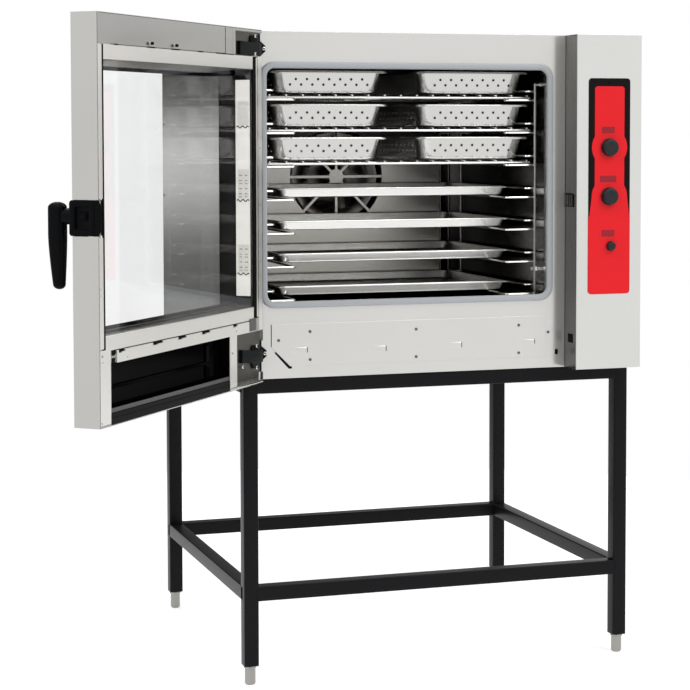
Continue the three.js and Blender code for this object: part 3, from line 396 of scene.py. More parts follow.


# %% [markdown]
# Stainless sheet is brushed in one direction, so its shine is streaked along the brushing. A node
# group holds that effect once: long thin noise along one axis moves the roughness a little and
# gives a very shallow relief, and soft clouds move the colour. The colour can also be darkened along
# an axis: painted shade, for steel that lies in shadow. Each steel then sets its own values.

# %% A node group for brushed metal
brushed, given, result = new_group(
    "brushed metal",
    {
        "Colour": (0.6, 0.6, 0.6, 1),
        "Roughness": 0.3,
        "Streaks": (4, 4, 900),
        "Contrast": 0.1,
        "Relief": 0.05,
        "Painted shade axis": (0, 0, 1),
        "Painted shade start": 0.0,
        "Painted shade end": 1.0,
        "Painted shade share": 1.0,
    },
    {"Base Color": 4, "Roughness": 1, "Normal": 3},
)
where = add_node(brushed, "TexCoord").outputs["Object"]
stretch = add_node(brushed, "Mapping", {"Vector": where, "Scale": given["Streaks"]})
streak = add_node(brushed, "TexNoise", {"Vector": stretch, "Scale": 1.0, "Detail": 3.0})
cloud = add_node(brushed, "TexNoise", {"Vector": where, "Scale": 3.0, "Detail": 2.0})
centred = add_node(brushed, "Math", {0: streak, 1: 0.5}, operation="SUBTRACT")
swing = add_node(brushed, "Math", {0: centred, 1: given["Contrast"]}, operation="MULTIPLY")
shine = add_node(brushed, "Math", {0: given["Roughness"], 1: swing}, use_clamp=True)
tone = add_node(brushed, "MapRange", {"Value": cloud, "To Min": 0.95, "To Max": 1.05})
# Painted shade: the colour darkens along an axis, from 1 at the start to the share at the end.
along = add_node(brushed, "VectorMath", {0: where, 1: given["Painted shade axis"]}, operation="DOT_PRODUCT")
painted_shade_inputs = {
    "Value": along.outputs["Value"],
    "From Min": given["Painted shade start"],
    "From Max": given["Painted shade end"],
    "To Min": 1.0,
    "To Max": given["Painted shade share"],
}
painted_shade = add_node(brushed, "MapRange", painted_shade_inputs, interpolation_type="SMOOTHSTEP")
shade = add_node(brushed, "Math", {0: tone, 1: painted_shade}, operation="MULTIPLY")
tinted = add_node(brushed, "VectorMath", {0: given["Colour"], "Scale": shade}, operation="SCALE")
relief = add_node(brushed, "Bump", {"Distance": 0.0002, "Strength": given["Relief"], "Height": streak})
connect(brushed, result, {"Base Color": tinted, "Roughness": shine, "Normal": relief})

# %% [markdown]
# Powder coat and moulded plastic have a fine pebbled skin instead. A second group gives that: a
# close, even noise as shallow relief and a little unevenness in the shine.

# %% A node group for pebbled skins
pebbled, given, result = new_group(
    "pebbled skin", {"Roughness": 0.4, "Grain": 900.0, "Relief": 0.1}, {"Roughness": 1, "Normal": 3}
)
where = add_node(pebbled, "TexCoord").outputs["Object"]
grain = add_node(pebbled, "TexNoise", {"Vector": where, "Scale": given["Grain"], "Detail": 2.0})
uneven = add_node(pebbled, "MapRange", {"Value": grain, "To Min": -0.05, "To Max": 0.05})
shine = add_node(pebbled, "Math", {0: given["Roughness"], 1: uneven}, use_clamp=True)
relief = add_node(pebbled, "Bump", {"Distance": 0.0003, "Strength": given["Relief"], "Height": grain})
connect(pebbled, result, {"Roughness": shine, "Normal": relief})

# %% [markdown]
# The materials. A metal is a Principled shader with Metallic at 1, so its colour is the colour of
# what it reflects; plastic, foil and rubber have Metallic at 0 and take their own colour. A few
# dull sheets stand in between. Streaks are noise cycles per metre along X, Y and Z, so the sheet is
# brushed along the axis that has few of them.

# %% Materials of the steel pieces
def plain(name, colour, roughness, metallic=0.0, gloss=0.5, more=None):
    """A Principled material from plain values; gloss is the strength of its mirror layer."""
    material = bpy.data.materials.new(name)
    material.use_nodes = True
    tree = material.node_tree
    values = {"Base Color": (*colour, 1), "Roughness": roughness}
    values |= {"Metallic": metallic, "Specular IOR Level": gloss, **(more or {})}
    connect(tree, tree.nodes["Principled BSDF"], values)
    MATERIALS[name] = material
    return material


def grouped(material, group, values):
    """Lets a node group with these values drive the shader's sockets that share its outputs' names."""
    tree = material.node_tree
    effect = add_node(tree, "Group", node_tree=group)
    connect(tree, effect, values)
    connect(tree, tree.nodes["Principled BSDF"], {out.name: out for out in effect.outputs})


def steel(name, colour, roughness, streaks, contrast=0.1, relief=0.05, metallic=1.0, painted_shade=()):
    """A brushed metal; painted_shade is the axis, start, end and share of a darkening that paints
    shade.
    """
    values = {"Colour": (*colour, 1), "Roughness": roughness, "Streaks": streaks}
    values |= {"Contrast": contrast, "Relief": relief}
    values |= dict(zip(("Painted shade axis", "Painted shade start", "Painted shade end", "Painted shade share"), painted_shade))
    grouped(plain(name, colour, roughness, metallic), brushed, values)


# Painted shade (axis, start, end, share) for the column's side, the duct, the lining and the baffle
COLUMN_PAINTED_SHADE = ((0, 0, -1), -1.62, -1.15, 0.66)
DUCT_PAINTED_SHADE = ((0, 0, -1), -1.32, -1.08, 0.10)
LINING_PAINTED_SHADE = ((0, 1, 0), -0.07, 0.12, 0.22)
BAFFLE_PAINTED_SHADE = ((0, 0, 1), 1.30, 1.38, 0.12)
steel("sheet across", (0.655, 0.65, 0.625), 0.17, (3, 3, 500), 0.06, 0.02, 0.70)
steel("side sheet", (0.50, 0.50, 0.485), 0.14, (3, 3, 500), 0.03, 0.008)
steel("sheet upright", (0.70, 0.70, 0.675), 0.26, (500, 500, 3), 0.06, 0.02)
# A darker copy of the column's steel: painted shade for its side in the door's shadow.
steel("column side painted shade", (0.44, 0.435, 0.42), 0.26, (500, 500, 3), 0.08, 0.02, 1.0, COLUMN_PAINTED_SHADE)
steel("door sheet", (0.545, 0.54, 0.52), 0.22, (400, 400, 4), 0.05, 0.015)
steel("pane wall", (0.16, 0.155, 0.155), 0.30, (4, 4, 300), 0.05, 0.02)
# Painted shade: dark steel for the hinge pockets' floors and sill.
steel("pocket painted shade", (0.105, 0.10, 0.085), 0.36, (4, 300, 4), 0.05, 0.02)
# Painted shade: the lining's colour darkens towards the back of the cavity.
steel("lining", (0.46, 0.46, 0.45), 0.14, (6, 6, 90), 0.02, 0.0, 1.0, LINING_PAINTED_SHADE)
# Painted shade: the baffle's colour darkens above the top shelf, in the shadow of the shelf and pans.
steel("baffle steel", (0.60, 0.585, 0.54), 0.26, (6, 6, 90), 0.05, 0.01, 1.0, BAFFLE_PAINTED_SHADE)
# Painted shade: the duct's colour darkens towards its foot.
steel("duct steel", (0.70, 0.69, 0.66), 0.34, (90, 90, 6), 0.05, 0.01, 0.7, DUCT_PAINTED_SHADE)
steel("pressed pan", (0.66, 0.655, 0.635), 0.22, (60, 60, 60), 0.06, 0.02)
steel("sheet pan", (0.73, 0.725, 0.705), 0.26, (40, 40, 40), 0.06, 0.02)
steel("wire", (0.72, 0.71, 0.69), 0.16, (200, 200, 200), 0.05, 0.0)
steel("trim strip", (0.86, 0.85, 0.81), 0.34, (4, 4, 500), 0.05, 0.02, 0.8)
steel("fan metal", (0.30, 0.28, 0.26), 0.34, (50, 50, 50), 0.1, 0.02)
steel("bright screw", (0.50, 0.49, 0.48), 0.25, (900, 900, 900), 0.1, 0.0)
steel("dark screw", (0.16, 0.155, 0.15), 0.35, (900, 900, 900), 0.1, 0.0)
steel("turned foot", (0.31, 0.305, 0.285), 0.22, (4, 4, 900), 0.1)
print(len(MATERIALS), "metals")


# %% Materials of the other pieces
def pebble(name, colour, roughness, grain, relief, gloss=0.2):
    """A pebbled skin on a Principled shader; grain is noise cycles per metre."""
    values = {"Roughness": roughness, "Grain": grain, "Relief": relief}
    grouped(plain(name, colour, roughness, 0.0, gloss), pebbled, values)


pebble("powder coat", (0.006, 0.006, 0.007), 0.32, 700.0, 0.06, 0.10)
pebble("hinge coat", (0.006, 0.0075, 0.008), 0.36, 500.0, 0.10, 0.035)
pebble("lever plastic", (0.0022, 0.0024, 0.003), 0.36, 900.0, 0.05, 0.06)
pebble("panel black", (0.009, 0.0075, 0.0075), 0.45, 900.0, 0.04, 0.04)
pebble("knob grey", (0.006, 0.008, 0.010), 0.40, 900.0, 0.05, 0.35)
pebble("silicone seal", (0.38, 0.40, 0.42), 0.50, 300.0, 0.04, 0.35)
pebble("motor casing", (0.05, 0.055, 0.06), 0.5, 300.0, 0.2)
pebble("board", (0.02, 0.12, 0.05), 0.45, 400.0, 0.05)
pebble("dark recess", (0.006, 0.006, 0.0055), 0.55, 400.0, 0.05, 0.02)
pebble("lip grey", (0.055, 0.055, 0.052), 0.3, 500.0, 0.03, 0.5)
pebble("tray plastic", (0.008, 0.008, 0.0085), 0.25, 500.0, 0.03, 0.035)
plain("smoked panel", (0.0012, 0.0012, 0.0014), 0.10, 0.0, 0.008)
plain("red foil", (0.74, 0.011, 0.017), 0.34, 0.0, 0.22)
plain("display", (0.30, 0.008, 0.018), 0.2, 0.0, 0.3)
plain("printed band", (0.003, 0.003, 0.0035), 0.35, 0.0, 0.02)
plain("door glass", (0.996, 1.0, 0.999), 0.0, more={"IOR": 1.27, "Transmission Weight": 1.0})
# The door lamp's cover and fields glow: partly its own light, partly painted light for what the panes
# block.
LAMP_LIGHT = (1.0, 0.985, 0.93, 1)
for name, strength in (("lamp cover", 0.66), ("lamp frame", 0.44)):
    glow = {"Emission Color": LAMP_LIGHT, "Emission Strength": strength}
    plain(name, (0.70, 0.69, 0.64), 0.35, more=glow)
print(len(MATERIALS), "materials")

# %% [markdown]
# ## The stand
# Four legs and their rails are 38 mm square tube with rounded corners under black powder coat. A
# tube is a rounded square carried along a straight line, which gives the corners their true
# radius. The levelling feet are turned on a lathe, so they are made as turned profiles.

# %% Square tubes
TUBE, TUBE_CORNER = 38.1, 3.2
RAIL_LAP = 6.0  # how far a cross rail runs into the side frames


def square_tube(start, end):
    """A rounded square carried along a straight axis: one ring at its start, one at its end."""
    start, end = np.asarray(start, float), np.asarray(end, float)
    axis = unit(end - start)
    one = np.array([0, 0, 1.0]) if abs(axis[2]) < 0.5 else np.array([1.0, 0, 0])
    half = TUBE / 2
    flat = rounded_rectangle(-half, half, -half, half, TUBE_CORNER, 5)
    section = flat[:, :1] * one + flat[:, 1:] * np.cross(axis, one)
    return np.array([start + section, end + section])


for node in ("stand_side_left", "stand_side_right"):
    low, high = workshop_box(node)
    x, half = middle_of(node)[0], (high[0] - low[0]) / 2
    front, back = low[1] + half, high[1] - half
    tubes = [square_tube([x, y, low[2]], [x, y, high[2]]) for y in (front, back)]
    for z in (middle_of("stand_rail_lower_front")[2], high[2] - half):
        tubes.append(square_tube([x, front, z], [x, back, z]))
    make_piece(node + "_welded", "powder coat", tubes, nodes=[node], slot="black_paint")
for place in ("top_front", "top_back", "lower_front", "lower_back"):
    node = "stand_rail_" + place
    low, high = workshop_box(node)
    y, z = middle_of(node)[1:]
    rail = square_tube([low[0] - RAIL_LAP, y, z], [high[0] + RAIL_LAP, y, z])
    make_piece(node + "_welded", "powder coat", [rail], nodes=[node], slot="black_paint")

# %% Levelling feet
FOOT_TIP = [(0, 0), (9.5, 0), (11, 0.8), (13.6, 3.6), (14, 5), (14, 41.5)]
FOOT_COLLAR = [(14.6, 42.8), (16.0, 43.6), (16.5, 44.6), (16.5, 48.6), (15.9, 49.7)]
FOOT_STEM = [(6, 49.7), (6, 71.7), (0, 71.7)]
for place in ("front_left", "front_right", "back_left", "back_right"):
    node = "foot_" + place
    foot = turned(FOOT_TIP + FOOT_COLLAR + FOOT_STEM, [*middle_of(node)[:2], 0], [0, 0, 1], 40)
    make_piece(node + "_turned", "turned foot", [foot], node, [node], "bright_steel")

# %% [markdown]
# ## The body
# The shell is 1.5 mm sheet, folded at its edges. Small bevels catch the light along each fold. The
# control column is a box of its own, so a dark joint is laid beside it, and its left side, which
# stands in the door's shadow, gets a skin of darker steel that paints that shade, darker still lower
# down, with a small dark window near its foot.

# %% Sheet shell
for node in ("base_pan", "top_cover", "back_cover", "fascia"):
    eased(node, "sheet across", 0.45)
for node in ("side_left", "side_right"):
    eased(node, "side sheet", 0.45)
eased("control_column", "sheet upright", 1.4, 3)

# %% Joint between the fascia and the column
column_x, column_y = workshop_box("control_column")[0][:2]
foot_to_head = (body_bottom + 1, body_top - 1)
joint = plate(column_x - 1.0, column_x - 0.05, *foot_to_head, 0.0, -0.25, 0.2, 0.05)
make_piece("column_joint", "dark recess", [joint])
# Painted shade: a skin of darker steel on the column's left side, which lies in the door's shadow.
skin = across(column_y + 1.5, -0.3, *foot_to_head, column_x + 0.1, column_x - 0.15, 0.3, 0.05)
make_piece("column_side_shade_skin", "column side painted shade", [skin])
WINDOW = [(-53, 855.6), (-21, 855.6), (-21, 879.0), (-53, 879.0)]
make_piece("column_side_window", "dark recess", [prism(WINDOW, column_x, column_x - 0.4, 0)])

# %% [markdown]
# The apron under the mouth is a thin cover with one cut corner; a slot opens beside the cut. Four
# shallow louvres are pressed out of it: each rises from nothing to 1.3 millimetres at its open end,
# where a thin dark plate makes the gap. Its pan-head screws are dull and dark.

# %% Apron under the mouth
FACING_FRONT, FACING_BACK = [0, -1, 0], [0, 1, 0]
APRON_LEFT, APRON_RIGHT, APRON_FOOT, APRON_HEAD, APRON_FACE = 73.0, 827.0, 817.5, 925.5, -1.5
LOUVRES = (
    (124.1, 166.5, 850.6, 864.9),
    (336.6, 379.1, 846.4, 861.2),
    (546.4, 588.3, 849.1, 863.4),
    (754.1, 795.1, 851.1, 863.9),
)
LOUVRE_RISE = 1.3
SLOT = [(80.0, 853.6), (88.5, 855.6), (125.0, 819.5), (127.5, 812.0), (119.0, 811.0), (110.5, 819.5)]
APRON_SCREWS = [(175.0, 904.5), (175.0, 832.7), (462.6, 901.4), (462.6, 829.7)]
APRON_SCREWS += [(750.4, 902.6), (750.6, 829.1), (91.5, 884.3)]
APRON_HEAD_SIZE = (4.0, 2.0)  # radius and height of a screw's head
cut_corner = [(APRON_LEFT, 868.0), (APRON_LEFT + 1.2, 865.6), (122.0, APRON_FOOT)]
right_end = [(APRON_RIGHT, APRON_FOOT), (APRON_RIGHT, APRON_HEAD)]
top_left = [(APRON_LEFT + 3, APRON_HEAD), (APRON_LEFT, APRON_HEAD - 3)]
apron = [prism(cut_corner + right_end + top_left, -0.05, APRON_FACE)]
cut = make_piece("apron_cut", "sheet across", apron, nodes=["lower_front_plate"], slot="body_steel")
round_edges(cut, 0.4)
gaps = [
    prism(SLOT, 0.0, -0.4),
    plate(855.0, 863.4, 821.0, 835.5, 0.0, -0.35, 2.5, 0.1),
    plate(APRON_LEFT - 1.6, APRON_LEFT + 0.2, 868.0, 925.0, 0.0, -0.3, 0.3, 0.1),
]
louvres = []
for x0, x1, z0, z1 in LOUVRES:
    press = plate(x0, x1, z0, z1, 0.0, LOUVRE_RISE, 2.0, 0.5)
    press[..., 1] = APRON_FACE - press[..., 1] * (press[..., 0] - x0) / (x1 - x0)
    louvres.append(press)
    gaps.append(plate(x1 - 0.2, x1 + 2.0, z0 + 0.6, z1 - 0.6, APRON_FACE, APRON_FACE - 0.3, 0.5, 0.1))
make_piece("apron_louvres", "sheet across", louvres)
make_piece("apron_gaps", "dark recess", gaps)
places = [(x, APRON_FACE, z) for x, z in APRON_SCREWS] + [(835.0, 0.0, 881.3)]
screws = [screw_head(at, FACING_FRONT, *APRON_HEAD_SIZE) for at in places]
make_piece("apron_screws", "dark screw", screws)

# %% [markdown]
# The drain pipe leaves at the back. On the column's inner side sits the keeper for the latch: a
# dark pad with four bright upright bars and rows of slots between them, made from thin tubes and
# plates that lie on the pad.

# %% Drain and keeper
eased("drain_pipe", "lining", 0.4)
eased("latch_keeper", "dark recess", 0.4)
(pad_x, pad_y, pad_foot), (_, pad_back, pad_head) = workshop_box("latch_keeper")
bars, slots = [], []
for share in (0.16, 0.38, 0.62, 0.84):
    y = pad_y + share * (pad_back - pad_y)
    bars.append(tube([[pad_x - 0.4, y, pad_foot + 3], [pad_x - 0.4, y, pad_head - 3]], 1.0, 8))
    for z in pad_foot + np.array([8.0, 19.0, 30.0]):
        slots.append(across(y + 2.0, y + 7.5, z, z + 6.5, pad_x, pad_x - 0.3, 1.5, 0.1))
make_piece("keeper_bars", "bright screw", bars)
make_piece("keeper_slots", "dark recess", slots)

# %% [markdown]
# The back cover and both sides are fixed with small screws near their folded edges, spaced evenly.
# They are the same pan heads as on the apron, turned to face outwards.

# %% Screws of the covers
COVER_SCREW = (3.6, 1.8)  # radius and height
SIDE_INSET, BACK_INSET, END_INSET = 16.0, 14.0, 20.0
screws = []
for z in np.linspace(body_bottom + END_INSET, body_top - END_INSET, 5):
    for x in (BACK_INSET, body_width - BACK_INSET):
        screws.append(screw_head([x, body_depth, z], FACING_BACK, *COVER_SCREW))
    for x, facing in ((body_width, 1), (0.0, -1)):
        screws.append(screw_head([x, body_depth - SIDE_INSET, z], [facing, 0, 0], *COVER_SCREW))
for x in np.linspace(0.25, 0.75, 3) * body_width:
    for z in (body_bottom + BACK_INSET, body_top - BACK_INSET):
        screws.append(screw_head([x, body_depth, z], FACING_BACK, *COVER_SCREW))
make_piece("cover_screws", "dark screw", screws)

# %% [markdown]
# ## The mouth
# The seal is an extruded silicone strip with a flat foot and a crowned face, pushed into a groove
# round the mouth. Its section is carried round a rounded rectangle; a swept section gives the
# unbroken corner that the real, moulded seal has.

# %% Door seal
SEAL_WIDTH, SEAL_FLANK, SEAL_CROWN, MOUTH_CORNER = 17.0, 4.4, 4.5, 21.0
low, high = workshop_box("door_seal")
mouth = [low[0] + SEAL_WIDTH, high[0] - SEAL_WIDTH, low[2] + SEAL_WIDTH, high[2] - SEAL_WIDTH]
lean = np.linspace(0, np.pi, 13)
half = SEAL_WIDTH / 2
seal_grow = [0.2, *(half - (half - 0.2) * np.cos(lean)), SEAL_WIDTH - 0.2]
seal_rise = [0.05, *(SEAL_FLANK + SEAL_CROWN * np.sin(lean) ** 0.7), 0.05]
loops = [drawn_in(mouth, -grow, MOUTH_CORNER + grow) for grow in seal_grow]
seal = looped(stacked(loops, [-rise for rise in seal_rise]))
make_piece("seal_swept", "silicone seal", [seal], nodes=["door_seal"], slot="seal_rubber")
print("mouth", [round(v, 1) for v in mouth])

# %% [markdown]
# Inside, the lining, baffle and fan are thin sheet whose edges are too fine to see, so their copies
# stay unbevelled. Beside the baffle an upright duct carries air down the right wall, with a pale
# folded edge on each side of a gap: three narrow plates. The pale edges are painted highlights for
# the light that the folds catch, and the duct's steel is darkened towards its foot as painted shade.

# %% Cavity, baffle, fan and duct
eased("cavity_liner", "lining", limit=25.0)
eased("air_baffle", "baffle steel")
eased("fan", "fan metal")
eased("fan_motor", "motor casing", 0.8)
eased("control_board", "board")
DUCT = (975.0, 1560.0, 634.0)  # foot, head and back
make_piece("cavity_duct", "duct steel", [plate(798.0, 826.0, *DUCT, 630.0, 1.0, 0.5)])
# Painted highlights: pale plates for the light that the duct's folded edges catch.
folds = [plate(x0, x1, *DUCT, 629.0, 0.5, 0.3) for x0, x1 in ((790.0, 793.0), (764.5, 767.0))]
make_piece("cavity_duct_edge_highlights", "trim strip", folds)

# %% [markdown]
# The heater is one sheathed tube wound round the fan. It is the same kind of piece as the rack
# wires: a round section along a path. The path is two and a half turns of a circle whose depth
# grows with the angle, with a straight tail into the back wall at each end.

# %% Heater coil
HEATER_RADIUS, HEATER_TUBE, HEATER_DEPTH, HEATER_BEND = 160.0, 4.3, 34.0, 14.0
LINING_SHEET, FAN_BACK = 1.2, 26.0
fan_x, _, fan_z = middle_of("fan")
coil_back = workshop_box("cavity_liner")[1][1] - LINING_SHEET - FAN_BACK - HEATER_TUBE * 2
heater_end = workshop_box("heater")[1][1]
angle = np.linspace(np.pi, 6 * np.pi, 150)
coil = np.stack(
    [
        fan_x + HEATER_RADIUS * np.cos(angle),
        coil_back - HEATER_DEPTH * (angle - np.pi) / (5 * np.pi),
        fan_z + HEATER_RADIUS * np.sin(angle),
    ],
    axis=1,
)
(x0, _, z0), (x1, _, z1) = coil[0], coil[-1]
bend = np.array([0, HEATER_BEND, 0])
path = [[x0, heater_end, z0], coil[0] + bend, *coil, coil[-1] + bend, [x1, heater_end, z1]]
make_piece("heater_coil", "fan metal", [tube(path, HEATER_TUBE)], nodes=["heater"], slot="cavity_steel")

# %% [markdown]
# ## Racks and shelves
# Each rack is bent from 6 mm rod: two uprights, and at each level a long loop that carries the pan
# and a short one above it that stops it tipping. A loop is a tube along a three-sided path with
# bent corners, welded to the uprights at its ends. Pins with round feet hold the rack to the wall.

# %% Racks of bent rod
ROD = 3.0
LEVELS = 7
UPRIGHT_GAP = 13.0 - 0.3  # upright to the cavity wall
LOOPS = ((84.0, 0.0), (28.0, 24.0))  # reach and rise of the pan loop and the retaining loop
LOWER_PIN = 66.0
PIN_FOOT = [(0, 0), (5.2, 0), (6, 0.8), (6, 3.2), (5.2, 4), (0, 4)]
shelf_rise = [workshop_box(f"wire_shelf_{name}")[0][2] for name in ("low", "middle")]
first_level = workshop_box("sheet_pan_1")[0][2] - 0.3
levels = first_level + (shelf_rise[1] - shelf_rise[0]) * np.arange(LEVELS)


def rack(name, side):
    """Both uprights, the pan loops, the retaining loops and the wall pins of one rack."""
    low, high = workshop_box(name)
    y0, y1 = low[1] + ROD, high[1] - ROD
    wall = high[0] if side > 0 else low[0]
    upright = wall - side * (UPRIGHT_GAP + ROD)
    rods = []
    for y in (y0, y1):
        rods.append(tube([[upright, y, low[2]], [upright, y, high[2]]], ROD, 12))
        for z in (levels[0] + LOWER_PIN - ROD, high[2] - ROD):
            rods.append(tube([[upright, y, z], [wall, y, z]], ROD))
            rods.append(turned(PIN_FOOT, [wall, y, z], [-side, 0, 0], 16))
    for level in levels:
        for reach, rise in LOOPS:
            z, tip = level + rise - ROD, upright - side * reach
            corners = [[upright, y0, z], [tip, y0, z], [tip, y1, z], [upright, y1, z]]
            rods.append(tube(rounded_path(corners, min(10.0, reach * 0.45)), ROD))
    make_piece(name + "_rod", "wire", rods, nodes=[name], slot="bright_steel")


rack("rack_left", -1)
rack("rack_right", 1)
BOLT_SHANK = [(0.01, 0), (5.0, 0), (6.0, 1.0), (6.0, 5.0), (3.6, 6.0), (3.6, 12.0)]
BOLT_NUT = [(7.4, 12.4), (8.0, 13.4), (8.0, 18.0), (7.0, 19.0), (4.4, 19.4), (4.4, 24.0), (0.01, 24.0)]
rack_low, rack_high = workshop_box("rack_right")
bolt = turned(BOLT_SHANK + BOLT_NUT, [rack_high[0] - 27.0, rack_low[1] + ROD, 1046.0], [1, 0, 0], 24)
make_piece("rack_bolt", "wire", [bolt])
print("levels", levels.round(1))

# %% [markdown]
# A wire shelf is a frame of 6.5 mm rod with 5 mm wires laid across it from front to back. The
# frame is one closed tube with bent corners; the wires are straight tubes, all the same, and two
# cross wires stiffen it.

# %% Wire shelves
FRAME_ROD, SHELF_WIRE, WIRE_PITCH, FRAME_BEND = 3.25, 2.5, 44.5, 9.0
CROSS_INSET = 185.0


def wire_shelf(node):
    """A rod frame with wires across it, from one CAD shelf's box."""
    low, high = workshop_box(node)
    x0, y0, z = low + FRAME_ROD
    x1, y1 = high[:2] - FRAME_ROD
    corners = [[x0, y0, z], [x1, y0, z], [x1, y1, z], [x0, y1, z]]
    rods = [looped(tube(rounded_path(corners, FRAME_BEND, True), FRAME_ROD, 12, True))]
    count = int((high[0] - low[0] - 5) // WIRE_PITCH)
    top = z + FRAME_ROD + SHELF_WIRE - 0.6
    for x in middle_of(node)[0] + (np.arange(count + 1) - count / 2) * WIRE_PITCH:
        if x0 + 6 < x < x1 - 6:
            rods.append(tube([[x, low[1] + 0.5, top], [x, high[1] - 0.5, top]], SHELF_WIRE))
    for y in (low[1] + CROSS_INSET, high[1] - CROSS_INSET):
        rods.append(tube([[x0, y, z], [x1, y, z]], SHELF_WIRE))
    make_piece(node + "_rod", "wire", rods, node, [node], "bright_steel")


for name in ("low", "middle", "high"):
    wire_shelf("wire_shelf_" + name)

# %% [markdown]
# ## Pans
# A pan is pressed from one sheet: a flat floor, sloping walls, and a rim that turns outward and
# down. Its section is a list of (inset, height) points, and the surface carries that section
# round a rounded rectangle: point = rectangle drawn in by the inset, at the height. Inner and
# outer skins are two passes of the same section, so the wall has the sheet's real thickness.

# %% Pressed pans as swept sections
RIM_BEND = 3.0  # radius of the rim's bead and of the shoulder inside it


def pan_section(depth, rim, taper, foot, sheet, lip):
    """(inset, height) up the inside of a pan, over its rim and down its outside, with round bends."""
    bend = np.linspace(0, np.pi / 2, 6)
    out, up = np.sin(bend), 1 - np.cos(bend)
    wall, floor, bead = rim + taper, rim + taper + foot * 2.5, RIM_BEND - sheet
    inside = [
        (wall + sheet + foot * (1 - out), sheet + foot * up),
        (rim + sheet - RIM_BEND * up, depth - RIM_BEND + RIM_BEND * out),
        (RIM_BEND - RIM_BEND * out, depth - RIM_BEND * up),
    ]
    outside = [
        (sheet + bead * (1 - out), depth - sheet - bead * up),
        (rim - RIM_BEND * up, depth - sheet - RIM_BEND + RIM_BEND * out),
        (wall + foot * (1 - out), foot * up),
    ]
    rows = [[(floor, sheet)], *(np.stack(bend, 1) for bend in inside)]
    rows += [[(0.0, depth - lip), (sheet, depth - lip)], *(np.stack(bend, 1)[::-1] for bend in outside)]
    return np.concatenate([*rows, [(floor, 0.0)]])


def pan_grid(node, section, rim_corner, floor_corner):
    """The section's rings in a node's box; their corner grows from the rim's radius to the floor's."""
    low, high = workshop_box(node)
    rings = []
    for inset, rise in section:
        share = min(inset / 20.0, 1.0)
        corner = rim_corner * (1 - share) + floor_corner * share
        rings.append(drawn_in((low[0], high[0], low[1], high[1]), inset, corner, 9))
    return stacked(rings, low[2] + section[:, 1], 2)


SHEET_PAN = pan_section(depth=25.0, rim=7.0, taper=5.0, foot=5.0, sheet=1.2, lip=5.0)
for row in range(1, 5):
    node = f"sheet_pan_{row}"
    tray = pan_grid(node, SHEET_PAN, 20.0, 26.0)
    make_piece(node + "_pressed", "sheet pan", [tray], node, [node], "bright_steel", smooth=50)

# %% [markdown]
# The steam pans are perforated: two rows of holes in each end and side, and a field of holes in
# the floor. The holes are really cut, by a Boolean with short round cutters, because the dark
# cavity has to show through them from every side. One pan is cut, and its mesh is reused.

# %% Perforated steam pans
HOTEL_PAN = pan_section(depth=61.0, rim=12.0, taper=8.0, foot=9.0, sheet=1.0, lip=6.0)
HOLE, DRILL_REACH, WALL_INSET = 3.4, 9.0, 15.5
HOLE_ROWS = ((22.0, 7, 13), (36.0, 8, 14))  # drop below the rim, holes in an end, holes in a side
END_PITCH, SIDE_PITCH, FLOOR_PITCH = 30.0, 32.0, 34.0


def spread(middle, count, pitch):
    """Evenly spaced places about a middle."""
    return middle + (np.arange(count) - (count - 1) / 2) * pitch


def drill(at, axis):
    """A short cylinder through the sheet."""
    return turned([(HOLE, -DRILL_REACH), (HOLE, DRILL_REACH)], at, axis, 14)


def pan_cutters(node):
    """Short cylinders through the ends, sides and floor of a pan."""
    low, high = workshop_box(node)
    mid_x, mid_y, _ = middle_of(node)
    sides, ends = ((low[k] + WALL_INSET, high[k] - WALL_INSET) for k in (0, 1))
    cutters = []
    for drop, end_count, side_count in HOLE_ROWS:
        z = high[2] - drop
        for x in spread(mid_x, end_count, END_PITCH):
            cutters += [drill([x, y, z], [0, 1, 0]) for y in ends]
        for y in spread(mid_y, side_count, SIDE_PITCH):
            cutters += [drill([x, y, z], [1, 0, 0]) for x in sides]
    for x in spread(mid_x, 8, END_PITCH):
        cutters += [drill([x, y, low[2]], [0, 0, 1]) for y in spread(mid_y, 13, FLOOR_PITCH)]
    return cutters


def perforated(node):
    """A pan's mesh with the cutters taken out of it."""
    grids = {"pan_blank": [pan_grid(node, HOTEL_PAN, 28.0, 44.0)], "pan_drill": pan_cutters(node)}
    blank, cutters = (bpy.data.objects.new(name, grid_mesh(name, grids[name])) for name in grids)
    for thing in (blank, cutters):
        bpy.context.scene.collection.objects.link(thing)
    cut = blank.modifiers.new("holes", "BOOLEAN")
    cut.operation = "DIFFERENCE"
    cut.solver = "EXACT"
    cut.object = cutters
    done = bpy.data.meshes.new_from_object(blank.evaluated_get(bpy.context.evaluated_depsgraph_get()))
    for thing in (blank, cutters):
        bpy.data.objects.remove(thing)
    return done


FIRST_PAN = "hotel_pan_low_left"
pressed = perforated(FIRST_PAN)
for name in ("low", "middle", "high"):
    for side in ("left", "right"):
        node = f"hotel_pan_{name}_{side}"
        shift = workshop_box(node)[0] - workshop_box(FIRST_PAN)[0]
        mesh = pressed.copy()
        mesh.transform(Matrix.Translation(Vector(shift * MM)))
        finish_piece(node + "_perforated", mesh, node, "pressed pan", [node], 50)

# %% [markdown]
# ## Controls
# A black moulded plate carries a red foil with a waist between the large knobs. The foil's foot
# wraps the plate's rounded corners, so it is drawn as an outline with two corner arcs. Knobs are
# turned profiles with a pointer bar; a small dark window above each knob shows its setting.

